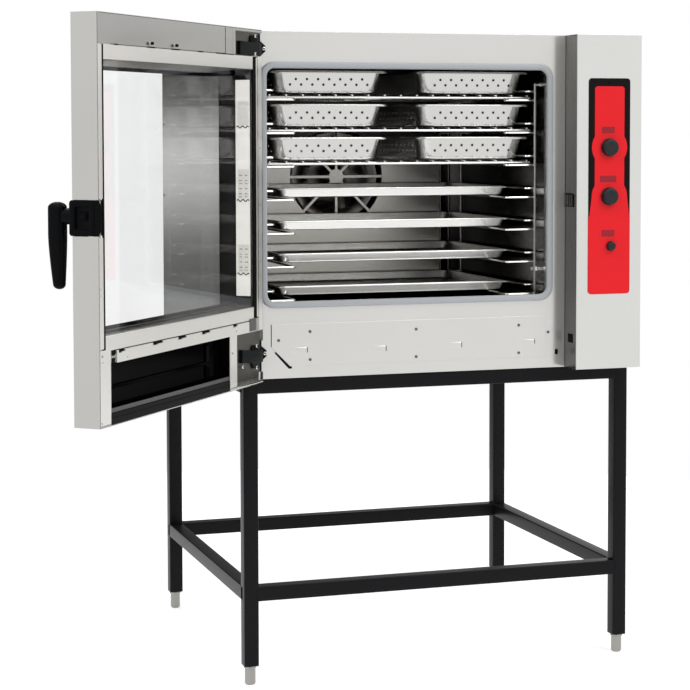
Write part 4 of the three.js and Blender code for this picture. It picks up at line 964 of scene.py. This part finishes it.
# %% Control panel
FOIL_LAP, FLARE_RISE, FOOT_CORNER = 0.3, 205.0, 9.0
eased("panel_plate", "panel black", 0.8, limit=30.0)
eased("panel_face", "red foil", limit=30.0)
(plate_left, plate_y, plate_foot), (plate_right, plate_back, plate_head) = workshop_box("panel_plate")
foil_y = workshop_box("panel_face")[0][1]
foot_arc = np.linspace(np.pi, 1.5 * np.pi, 6)
arc_x, arc_z = ((FOOT_CORNER + FOIL_LAP) * turn(foot_arc) for turn in (np.cos, np.sin))
left_arc = np.stack([plate_left + FOOT_CORNER + arc_x, plate_foot + FOOT_CORNER + arc_z], axis=1)
right_arc = np.stack([plate_left + plate_right - left_arc[::-1, 0], left_arc[::-1, 1]], axis=1)
flare = [(x, plate_foot + FLARE_RISE) for x in (plate_right + FOIL_LAP, plate_left - FOIL_LAP)]
foot = prism(np.concatenate([left_arc, right_arc, flare]), plate_back - 0.1, foil_y - 0.05)
make_piece("foil_foot", "red foil", [foot])
SENSOR = [(0.01, 0), (3.2, 0), (3.2, 0.3), (2.6, 0.5), (0.01, 0.2)]
sensor_at = [(plate_left + plate_right) / 2 - 2, plate_y, plate_head - 12.5]
make_piece("panel_sensor", "dark recess", [turned(SENSOR, sensor_at, FACING_FRONT, 20)])


# %% Knobs and display windows
def knob(node, radius, crown):
    """A skirted knob: skirt, waist, crowned side and dished face, with a pointer bar let into it."""
    x, _, z = middle_of(node)
    face_y = workshop_box(node)[0][1]
    height = foil_y - FOIL_LAP - face_y
    stem = [(0.01, -16), (3, -16), (3, 0)]
    skirt = [(radius - 0.8, 0), (radius, 0.7), (radius, 2.2), (radius - 0.9, 3.0), (crown + 1.6, 4.2)]
    side = [(crown + 0.5, height * 0.6), (crown, height - 2.4), (crown - 1.0, height - 0.8)]
    face = [(crown - 2.6, height), (crown * 0.5, height - 0.35), (0.01, height - 0.45)]
    body = turned(stem + skirt + side + face, [x, foil_y - FOIL_LAP, z], FACING_FRONT, 48)
    make_piece(node + "_turned", "knob grey", [body], node, [node], "black_plastic")
    pointer = [[x, face_y + 0.25, z + rise] for rise in (radius * 0.2, crown - 2.4)]
    make_piece(node + "_pointer", "knob grey", [tube(pointer, 0.9, 8)], node)


knob("knob_mode", 24, 21.6)
knob("knob_temperature", 24, 21.6)
knob("knob_time", 12.8, 11.2)
DISPLAYS = ((37.0, 1416.5), (46.5, 1288.0), (37.0, 1145.0))  # width and height above the floor
display_x = middle_of("panel_face")[0] - 4.0
for i, (width, z) in enumerate(DISPLAYS):
    loop = rounded_rectangle(display_x - width / 2, display_x + width / 2, z - 8.5, z + 8.5, 1.5, 4)
    make_piece(f"display_{i + 1}", "display", [prism(loop, foil_y, foil_y - 0.35)])

# %% [markdown]
# ## The door
# The door is a shallow steel box with a window through it, two panes, a drip strip and a dark tray
# below. It is made shut in the CAD and stands open here, so new pieces are made shut and swung.
# The hinge arms taper towards their ends, which the CAD leaves straight: their points are drawn
# in by a share of their reach.

# %% Door pieces
INNER_FACE = -9.3
ARM_START = 30.0  # the arm is straight up to here, past its knuckle
eased("door_frame", "door sheet", 0.5)
for node in ("glass_inner", "glass_outer"):
    eased(node, "door glass", 0.4, 1)
for node in ("hinge_leaf_bottom", "hinge_leaf_top"):
    eased(node, "hinge coat", 0.8)


def tapered_arm(node, share, lift):
    """A hinge arm past its knuckle: reach times share, and z + lift times reach over full reach."""
    arm = eased(node, "hinge coat", 1.2, 3)
    points = np.empty(len(arm.data.vertices) * 3)
    arm.data.vertices.foreach_get("co", points)
    points = (points.reshape(-1, 3) - CORNER) / MM
    past = np.clip((points[:, :2] - HINGE) @ door_along - ARM_START, 0.0, None)
    points[:, :2] -= (past * (1 - share))[:, None] * door_along
    points[:, 2] += lift * past / past.max()
    arm.data.vertices.foreach_set("co", in_frame(points).ravel())


tapered_arm("hinge_arm_bottom", 0.88, 11.0)
tapered_arm("hinge_arm_top", 0.91, 0.0)
barrels = []
for foot, tall in ((811.0, 77.0), (1565.0, 91.0)):
    profile = [(0.01, 0), (6.4, 0), (7.4, 1), (7.4, tall - 1), (6.4, tall), (0.01, tall)]
    barrels.append(turned(profile, [*HINGE, foot], [0, 0, 1], 24))
make_piece("hinge_barrels", "hinge coat", barrels)
eased("latch_tongue", "lever plastic", 1.2, 3)


def door_piece(name, look, grids, body="door", **more):
    """One piece made on the shut door."""
    return make_piece(name, look, grids, body, door=True, **more)


def on_door(boxes, back, front, *edges):
    """Plates (x0, x1, z0, z1) from back to front, both measured outwards from the inner face."""
    return [plate(*box, INNER_FACE + back, INNER_FACE + front, *edges) for box in boxes]


# %% [markdown]
# Round the pane the bars above and below are bright, and its upright edges lie in shadow, so the
# CAD's frame is remade as two bright bars and two dark plates that paint the edges' shadow. The
# folds of the door's sheet catch the light, which is painted on them as narrow bright strips, and
# small dark joints lie over the top bar.

# %% Bars and edges of the inner pane
BAR_LEFT, BAR_RIGHT = 91.5, 850.0
PANE_LEFT, PANE_RIGHT = 64.3, 857.4
BARS = ((947.0, 979.0), (1567.7, 1599.5))
bars = on_door([(BAR_LEFT, BAR_RIGHT, *bar) for bar in BARS], -3.2, 0.3, 0.8, 0.5)
door_piece("pane_bars", "trim strip", bars, nodes=["pane_frame"], slot="bright_steel")
# Painted shadow: dark plates on the pane's upright edges.
edges = [(PANE_LEFT, BAR_LEFT - 0.3, 950.3, 1598.7), (BAR_RIGHT + 0.3, PANE_RIGHT, 950.3, 1598.7)]
door_piece("pane_edges_painted_shade", "dark recess", on_door(edges, -3.2, -0.4, 0.5))
# Painted highlights: bright strips where the folds of the door's sheet catch the light.
EDGE_HIGHLIGHTS = (
    (38.0, 47.0, 919.0, 1599.0),
    (48.4, 58.6, 919.0, 1599.0),
    (65.0, 71.5, 953.0, 1597.0),
    (54.0, 61.0, 793.0, 813.0),
    (858.6, 875.4, 953.0, 1190.0),
    (858.6, 875.4, 1273.0, 1599.0),
    (829.6, 875.4, 790.0, 950.0),
)
door_piece("edge_highlights", "trim strip", on_door(EDGE_HIGHLIGHTS, -2.0, 0.25, 0.4, 0.2))
JOINTS = ((785.4, 803.2), (613.7, 651.9), (490.0, 535.3), (370.4, 396.9), (205.2, 300.0))
joints = on_door([(BAR_LEFT + 4, 820.0, 1599.6, 1600.9)], -0.2, 0.25, 0.2, 0.1)
joints += on_door([(*ends, 1598.6, 1601.8) for ends in JOINTS], -0.2, 0.35, 0.5, 0.1)
door_piece("bar_joint_top", "dark recess", joints)

# %% [markdown]
# Between the panes the door is lined with sheet. On the hinge side stands the door's lamp: a long
# cream cover with three socket fields, each held by a bent wire clip at its foot. Cover and fields
# glow, partly as the lamp's own light and partly as painted light for the lighting that the panes
# keep from them. They show through the glass, so they are made as pieces and not as a texture.

# %% Lining between the panes
LINING_X, GAP_OUTER, GAP_INNER = 82.0, -63.2, -17.4
upright = [(GAP_OUTER, 953.0), (GAP_INNER, 953.0), (GAP_INNER, 1597.0), (GAP_OUTER, 1597.0)]
lining = [prism(upright, LINING_X - 1.2, LINING_X, 0)]
for z0, z1 in ((976.0, 977.2), (1572.8, 1574.0)):
    level = [(LINING_X + 0.3, z0), (856.0, z0), (856.0, z1), (LINING_X + 0.3, z1)]
    lining.append(prism(level, GAP_OUTER, GAP_INNER))
door_piece("pane_lining", "pane wall", lining)

# %% Lamp on the hinge side
FIELDS = ((1425.5, 64.0), (1243.0, 78.0), (1060.0, 74.0))  # foot and height
COVER_FACE, FIELD_FACE = LINING_X + 1.2, LINING_X + 1.7
DOT, DOT_COLUMNS = [(1.3, 0), (1.3, 0.5), (0.01, 0.6)], (-51.0, -47.0, -36.0, -32.0)
cover = across(-62.5, -24.0, 1005.0, 1542.0, LINING_X, COVER_FACE)
door_piece("door_lamp_cover", "lamp cover", [cover])
sockets, clips, dots = [], [], []
run = np.linspace(0, 1, 25)
for foot, height in FIELDS:
    sockets.append(across(-57.0, -26.0, foot + 4, foot + height, COVER_FACE, FIELD_FACE, 3.0, 0.2))
    for z in foot + 10 + 11.0 * np.arange(int((height - 16) // 11)):
        sockets.append(across(-53.0, -30.0, z, z + 5.5, FIELD_FACE, LINING_X + 2.6, 2.0, 0.3))
    bow, sag = 2.0 * np.sin(run * 2 * np.pi), 2.5 * np.sin(run * 5 * np.pi)
    clips.append(tube(np.stack([LINING_X + 3.5 + bow, -58.0 + 32.0 * run, foot + sag], axis=1), 1.3, 8))
for foot, _ in FIELDS[1:]:
    for z in foot + 10 + 6.5 * np.arange(9):
        for y in DOT_COLUMNS:
            dots.append(turned(DOT, [FIELD_FACE, y, z], [1, 0, 0], 8))
door_piece("door_lamp_fields", "lamp frame", sockets)
door_piece("door_lamp_dots", "hinge coat", dots)
door_piece("door_lamp_clips", "hinge coat", clips)

# %% [markdown]
# The outer pane has a black border printed on its inner face, wide on the hinge side, which hides
# the edge of the window behind it. It is a thin flat ring between two rounded rectangles.

# %% Printed border of the outer pane
border_out = rounded_rectangle(76.5, 835.5, 982.5, 1555.5, 2.0, 4)
border_in = rounded_rectangle(177.0, 827.0, 991.0, 1547.0, 4.0, 4)
BORDER_BACK, BORDER_FACE = -64.1, -63.7
ring = stacked([border_out] * 2 + [border_in] * 2, (BORDER_BACK, BORDER_FACE, BORDER_FACE, BORDER_BACK))
door_piece("pane_border", "printed band", [looped(ring)])

# %% [markdown]
# Below the pane a drip strip catches water. Stepped slots along its top edge let the water in, and
# a dark joint runs between it and the bar. It is one cut outline with its edges rounded.

# %% Drip strip
STRIP_LEFT, STRIP_RIGHT, STRIP_FOOT, STRIP_HEAD, STRIP_FRONT = 126.0, 808.0, 919.0, 945.4, -5.2
SLOTS = ((194.0, 219.5), (347.0, 391.5), (472.5, 515.5), (590.5, 640.5), (770.0, 800.0))
SLOT_DEEP, SLOT_SHALLOW = 6.4, 4.6
outline = [(STRIP_LEFT, STRIP_FOOT), (STRIP_RIGHT, STRIP_FOOT), (STRIP_RIGHT, STRIP_HEAD)]
for x0, x1 in reversed(SLOTS):
    middle = (x0 + x1) / 2
    outline += [(x1, STRIP_HEAD), (x1, STRIP_HEAD - SLOT_DEEP), (middle, STRIP_HEAD - SLOT_DEEP)]
    outline += [(middle, STRIP_HEAD - SLOT_SHALLOW), (x0, STRIP_HEAD - SLOT_SHALLOW), (x0, STRIP_HEAD)]
outline.append((STRIP_LEFT, STRIP_HEAD))
strip = [prism(outline, INNER_FACE + 0.1, STRIP_FRONT)]
cut = door_piece("drip_strip_cut", "trim strip", strip, nodes=["drip_strip"], slot="body_steel")
round_edges(cut, 0.4)
joint = (STRIP_LEFT - 20, STRIP_RIGHT + 12, STRIP_HEAD - 8.0, STRIP_HEAD + 1.5)
door_piece("drip_joint", "dark recess", on_door([joint], -0.1, 0.3, 0.3, 0.1))
door_piece("drip_bracket", "pane wall", on_door([(82.0, 118.0, 920.5, 951.0)], 0.0, 3.0, 2.0, 0.5))
end_holes = [(811.0, 826.0, 919.0, 930.0), (811.0, 826.0, 935.0, 947.0)]
door_piece("drip_end_hole", "dark recess", on_door(end_holes, 0.0, 0.4, 2.0, 0.1))

# %% [markdown]
# The tray in the lower door is smoked black plastic. Its front edge turns down over the door's
# sheet as a lip, so the door's foot reads as a grey line over a black band. The lip's two faces
# are (y, z) outlines carried from end to end, with thin tubes as its dark grooves.

# %% Tray of the lower door
TRAY_LEFT, TRAY_RIGHT = 231.5, 829.0
LIP_SLOPE = [(-34.0, 793.6), (-34.0, 794.6), (-13.6, 821.5), (-11.5, 821.5), (-11.5, 812.0)]
LIP_FRONT = [(-11.5, 811.6), (-9.1, 811.2), (-9.1, 786.0), (-10.6, 785.6)]
LIP_GROOVES = ((-28.0, 802.5), (-21.5, 811.0), (-16.0, 818.3), (-9.1, 801.0))
eased("lower_panel", "smoked panel", 0.3, 1)
for name, look, section in (("slope", "lip grey", LIP_SLOPE), ("front", "tray plastic", LIP_FRONT)):
    lip = door_piece("tray_lip_" + name, look, [prism(section, TRAY_LEFT, TRAY_RIGHT, 0)], smooth=20)
    round_edges(lip, 0.4)
grooves = [tube([[TRAY_LEFT + 0.5, y, z], [TRAY_RIGHT - 0.5, y, z]], 0.8, 6) for y, z in LIP_GROOVES]
door_piece("tray_lip_grooves", "dark recess", grooves)
ribs = [plate(*box, -35.0, -31.0, 1.5, 0.8) for box in ((300, 318, 800, 905), (300, 800, 858, 866))]
door_piece("tray_ribs", "smoked panel", ribs)

# %% [markdown]
# At each hinge the door's sheet is sunk into a pocket, which lies in shadow; its floor and sill are
# coloured dark steel to paint that shade, and a cover closes it beside the arm. Seams and fold lines
# are plates a few tenths of a millimetre thick, so they read as dark lines from any side.

# %% Hinge pockets and joints of the door's sheet
POCKET_DEPTH = 9.0
POCKETS = ((37.2, 189.5, 792.5, 916.5), (37.2, 189.5, 1601.5, 1658.5))
# Painted shade: the pocket floors are dark steel because the pockets lie in shadow.
floors = on_door(POCKETS, -POCKET_DEPTH - 0.1, -POCKET_DEPTH + 0.15, 1.0, 0.05)
door_piece("pocket_floors", "pocket painted shade", floors)
for name, look, box in (
    ("low", "trim strip", (192.0, 230.0, 793.0, 919.5)),
    ("high", "door sheet", (207.6, 246.6, 1601.0, 1663.5)),
):
    door_piece("pocket_cover_" + name, look, on_door([box], 0.0, 0.8, 0.6, 0.25))
# Painted shade: the pocket's sill in the same dark steel.
SILL = [(-9.4, 785.5), (-9.4, 788.5), (-17.5, 798.0), (-17.5, 785.5)]
door_piece("pocket_sill", "pocket painted shade", [prism(SILL, 40.0, 228.0, 0)])
sill_line = tube([[38.0, -9.4, 786.4], [230.0, -9.4, 786.4]], 0.9, 8)
door_piece("pocket_sill_line", "trim strip", [sill_line])
SEAMS = ((247.0, 1601, 1664), (205.8, 1601, 1664), (190.6, 793, 919))
seams = on_door([(x, x + 1.3, z0, z1) for x, z0, z1 in SEAMS], 0.0, 0.2, 0.2, 0.05)
door_piece("pocket_seams", "dark recess", seams)
FOLD_LINES = ((876.0, 877.0, 786.0, 1665.0), (37.0, 866.0, 1664.6, 1665.4))
door_piece("door_fold_lines", "dark recess", on_door(FOLD_LINES, 0.0, 0.15, 0.2, 0.05))

# %% [markdown]
# The door's screws differ in size, so each is listed with its place and radius. Those on a cover or
# on the drip strip stand higher than the sheet. The hinge's screws have a dark well in the head,
# which is a small disc laid just inside it.

# %% Screws of the door
# x, z, radius, and how far the screw's seat stands above the inner face
DOOR_SCREWS = (
    (635.5, 1608.9, 4.2, 0.0),
    (515.1, 1608.9, 4.2, 0.0),
    (871.5, 1067.2, 2.0, 0.0),
    (871.5, 925.2, 2.0, 4.0),
    (871.5, 1081.2, 2.0, 0.0),
    (870.6, 795.0, 2.4, 0.0),
    (867.9, 937.4, 3.2, 0.0),
    (761.7, 926.5, 1.8, 4.0),
    (203.2, 928.7, 2.2, 4.0),
    (219.9, 876.1, 3.4, 0.8),
)
heads = []
for x, z, radius, seat in DOOR_SCREWS:
    heads.append(screw_head([x, INNER_FACE + seat, z], FACING_BACK, radius, radius * 0.6))
door_piece("door_screws", "bright screw", heads)
STUD = [(3.4, 0), (3.4, 7), (2.6, 8), (0.01, 8)]
studs = [turned(STUD, [x, INNER_FACE, z], FACING_BACK, 12) for x, z, *_ in DOOR_SCREWS[:2]]
door_piece("rail_studs", "dark recess", studs)
rivets = [screw_head([50.0, INNER_FACE, z], FACING_BACK, 2.6, 0.36) for z in (1373.0, 1232.0, 1090.0)]
door_piece("hinge_edge_rivets", "wire", rivets)
ARM_SCREWS = [(72.3, -11.0, z) for z in (879.8, 825.2, 1650.0, 1606.0)] + [(148.9, -14.0, 835.2)]
door_piece("hinge_screws", "wire", [screw_head(at, FACING_BACK, 5.0, 3.0) for at in ARM_SCREWS])
WELL = [(2.4, 2.0), (2.4, 3.15), (0.01, 3.15)]
door_piece("screw_wells", "dark recess", [turned(WELL, at, FACING_BACK, 12) for at in ARM_SCREWS])
LEAF_SCREWS = ((54.5, -5.0, 853.5), (54.5, -5.0, 1622.0))
LEAF_WELL = [(2.2, 1.6), (2.2, 2.75), (0.01, 2.75)]
make_piece("leaf_screws", "wire", [screw_head(at, FACING_FRONT, 4.8, 2.6) for at in LEAF_SCREWS])
wells = [turned(LEAF_WELL, at, FACING_FRONT, 12) for at in LEAF_SCREWS]
make_piece("leaf_screw_wells", "dark recess", wells)

# %% [markdown]
# The latch housing is a moulded block with a dished end that holds the spindle's square. Rings of
# a rounded rectangle run up its side, over its rim and down into the dish.

# %% Latch housing
HOUSE_LEFT, HOUSE_EDGES = 839.7, (-79.8, -17.2, 1193.2, 1269.8)
# How far each ring is drawn in, and its place along X
HOUSE_SIDE = [(0.6, HOUSE_LEFT), (0.0, HOUSE_LEFT + 1.0), (0.0, 877.6), (0.5, 878.8), (1.7, 879.3)]
HOUSE_DISH = [(12.6, 879.3), (13.4, 878.9), (14.0, 877.8), (15.0, 872.4), (16.0, 871.8)]
insets, places = zip(*(HOUSE_SIDE + HOUSE_DISH))
rings = [drawn_in(HOUSE_EDGES, inset, max(7.0 - inset * 0.35, 1.0), 5) for inset in insets]
housing = [
    stacked(rings, places, 0),
    across(-54.5, -42.5, 1228.5, 1240.5, 870.0, 877.0, 1.2, 0.8),
    across(-58.5, -38.5, 1224.5, 1244.5, 870.0, 874.0, 2.0, 0.8),
]
door_piece(
    "latch_housing_dished",
    "lever plastic",
    housing,
    nodes=["latch_housing"],
    slot="black_plastic",
    smooth=30,
)

# %% [markdown]
# The lever's grip is a soft block that tapers to its foot. Its section is a rounded rectangle whose
# sides and place are smooth functions of height, closed by domes at both ends. The neck that joins
# it to the housing is turned.

# %% Lever
LEVER_FOOT, LEVER_HEAD = 1078.0, 1265.0
GRIP_X, GRIP_Y, SPINDLE_Z = 859.5, -118.5, 1234.5
TAPER_SHARE = 0.62  # the grip tapers below this share of its height
DOME_SHARE, DOME_FOOT, DOME_HEAD = (0.05, 0.93), 0.052, 0.072
NECK = [(13.0, 0), (17.0, 2), (17.5, 8), (18.5, 20), (19.0, 24), (18.4, 24.9)]
RUNS = ((0, 0.05, 7), (0.09, 0.93, 16), (0.95, 1.0, 7))  # start, end and number of sections
height = np.concatenate([np.linspace(*run) for run in RUNS])
slim = np.clip((TAPER_SHARE - height) / TAPER_SHARE, 0, 1) ** 1.4
dome = 1.0
for past, reach in ((DOME_SHARE[0] - height, DOME_FOOT), (height - DOME_SHARE[1], DOME_HEAD)):
    dome = dome * np.sqrt(np.clip(1 - (np.clip(past, 0, 1) / reach) ** 2, 0.02, 1))
sections = []
for wide, thick, shift, d in zip(15.0 - 4.0 * slim, 19.5 - 6.75 * slim, 3.4 * slim, dome):
    ring = rounded_rectangle(-wide * d, wide * d, -thick * d, thick * d, 10.5 * d, 5)
    sections.append(ring + [GRIP_X, GRIP_Y + shift])
grip = stacked(sections, LEVER_FOOT + height * (LEVER_HEAD - LEVER_FOOT), 2)
neck = turned(NECK, [GRIP_X, -103.0, SPINDLE_Z], FACING_BACK)
door_piece(
    "lever_grip",
    "lever plastic",
    [grip, neck],
    "door_lever",
    nodes=["door_lever"],
    slot="black_plastic",
    smooth=50,
)

# %% [markdown]
# ## Studio
# The part stands on a plain white floor in a white room. The camera and the glass see the room as
# white, while the lamps and a softer room light do the lighting, so colours render about as they
# are written. Steel shows what it reflects, so in reflections the white room has three dimmer
# fields, behind the camera, behind the oven and beside it, as a real room has.

# %% Floor
FLOOR_RADIUS, FLOOR_MIDDLE = 2700.0, np.array([500.0, 450.0, 0.0])
disc = FLOOR_MIDDLE + FLOOR_RADIUS * circle(np.array([1.0, 0, 0]), np.array([0, 1.0, 0]), 96)
floor_mesh = bpy.data.meshes.new("floor")
floor_mesh.from_pydata(in_frame(disc).tolist(), [], [list(range(len(disc)))])
floor = bpy.data.objects.new("floor", floor_mesh)
bpy.context.scene.collection.objects.link(floor)
glow = {"Emission Color": (1, 1, 1, 1), "Emission Strength": 0.50}
floor_mesh.materials.append(plain("white floor", (0.80, 0.80, 0.80), 0.9, 0.0, 0.0, glow))
floor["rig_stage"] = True
print("floor radius", FLOOR_RADIUS)

# %% Room light
CAMERA_SIDE, OVEN_BACK, OVEN_RIGHT = (-0.40, -0.90, -0.05), (-0.25, 0.968, 0.0), (0.90, 0.42, 0.10)
world = bpy.context.scene.world or bpy.data.worlds.new("room")
bpy.context.scene.world = world
world.use_nodes = True
room = world.node_tree
room.nodes.clear()
output = add_node(room, "OutputWorld")
rays = add_node(room, "LightPath").outputs
view = add_node(room, "TexCoord").outputs["Generated"]
up = add_node(room, "SeparateXYZ", {0: view}).outputs["Z"]


def stepped(value, low, high, start, end):
    """A smooth step from start to end as value goes from low to high."""
    steps = {"Value": value, "From Min": low, "From Max": high, "To Min": start, "To Max": end}
    return add_node(room, "MapRange", steps, interpolation_type="SMOOTHSTEP")


def towards(direction, low, high):
    """0 to 1 as a ray turns towards direction: a smooth step of the dot product from low to high."""
    facing = add_node(room, "VectorMath", {0: view, 1: direction}, operation="DOT_PRODUCT")
    return stepped(facing.outputs["Value"], low, high, 0.0, 1.0)


def times(a, b):
    """The product of two nodes."""
    return add_node(room, "Math", {0: a, 1: b}, operation="MULTIPLY")


def dimmed(share, level):
    """White where share is 0, level where it is 1."""
    return add_node(room, "Mix", {"Factor": share, "A": 1.0, "B": level})


def white(strength):
    """A white background of this strength."""
    return add_node(room, "Background", {"Color": (1, 1, 1, 1), "Strength": strength})


front_level = stepped(up, -0.10, 0.06, 0.03, 0.34)
back_level = times(stepped(up, -0.065, -0.015, 0.20, 1.0), stepped(up, -0.012, 0.024, 1.0, 0.07))
near_level = stepped(up, -0.17, -0.12, 0.0, 1.0)
front = dimmed(times(towards(CAMERA_SIDE, 0.77, 0.95), near_level), front_level)
back = dimmed(times(towards(OVEN_BACK, 0.70, 0.88), near_level), back_level)
beside = dimmed(towards(OVEN_RIGHT, 0.85, 0.97), 0.72)
mirrored = white(times(times(front, back), beside))
lighting = add_node(room, "MixShader", {"Fac": rays["Is Glossy Ray"], 1: white(0.60), 2: mirrored})
seeing = {0: rays["Is Camera Ray"], 1: rays["Is Transmission Ray"]}
seen = add_node(room, "Math", seeing, operation="MAXIMUM")
surface = add_node(room, "MixShader", {"Fac": seen, 1: lighting, 2: white(1.0)})
connect(room, output, {"Surface": surface})
print("room", len(room.nodes), "nodes")


# %% [markdown]
# Three large square lamps, above on both sides and behind, give soft shadows. The camera stands
# where the photograph's did, a little left of the oven. Its lens is shifted down rather than
# tilted further, so that upright edges stay nearly upright in the picture.

# %% Lamps
def softbox(name, at, target, size, watts):
    """A square area lamp in workshop millimetres that faces a point."""
    lamp = bpy.data.lights.new(name, "AREA")
    lamp.energy = watts
    lamp.size = size * MM
    box = bpy.data.objects.new(name, lamp)
    bpy.context.scene.collection.objects.link(box)
    start, end = Vector(in_frame(at)), Vector(in_frame(target))
    box.location = start
    box.rotation_euler = (end - start).to_track_quat("-Z", "Y").to_euler()
    print(name, watts, "watts")


softbox("key", (2900, -3300, 5200), (500, 300, 1000), 3400, 150)
softbox("fill", (-3400, -2600, 5600), (300, 300, 1000), 3000, 90)
softbox("rear", (-800, 4800, 5000), (500, 600, 1000), 3600, 90)
bpy.context.scene.view_settings.view_transform = "Standard"

# %% Camera
CAMERA_AT = (-1263.2, -4772.6, 1411.5)
YAW, PITCH, ROLL = (math.radians(a) for a in (17.804, -3.139, -0.121))
camera = bpy.data.objects.new("camera", bpy.data.cameras.new("camera"))
bpy.context.scene.collection.objects.link(camera)
ahead = Vector((math.sin(YAW) * math.cos(PITCH), math.cos(YAW) * math.cos(PITCH), math.sin(PITCH)))
level = Vector((math.cos(YAW), -math.sin(YAW), 0.0))
upward = level.cross(ahead)
right = level * math.cos(ROLL) + upward * math.sin(ROLL)
upward = upward * math.cos(ROLL) - level * math.sin(ROLL)
turn = Matrix((right, upward, -ahead)).transposed().to_4x4()
camera.matrix_world = Matrix.Translation(Vector(in_frame(CAMERA_AT))) @ turn
camera.data.sensor_width = 36.0
camera.data.lens = 102.31
camera.data.shift_y = -0.1522
camera.data.clip_end = 100.0
bpy.context.scene.camera = camera
print("camera at", CAMERA_AT)

# %% [markdown]
# Last, the dressed oven's box is measured and printed.

# %% Size of the dressed oven
low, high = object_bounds()
print("shown box", [round(v, 4) for v in (*low, *high)])
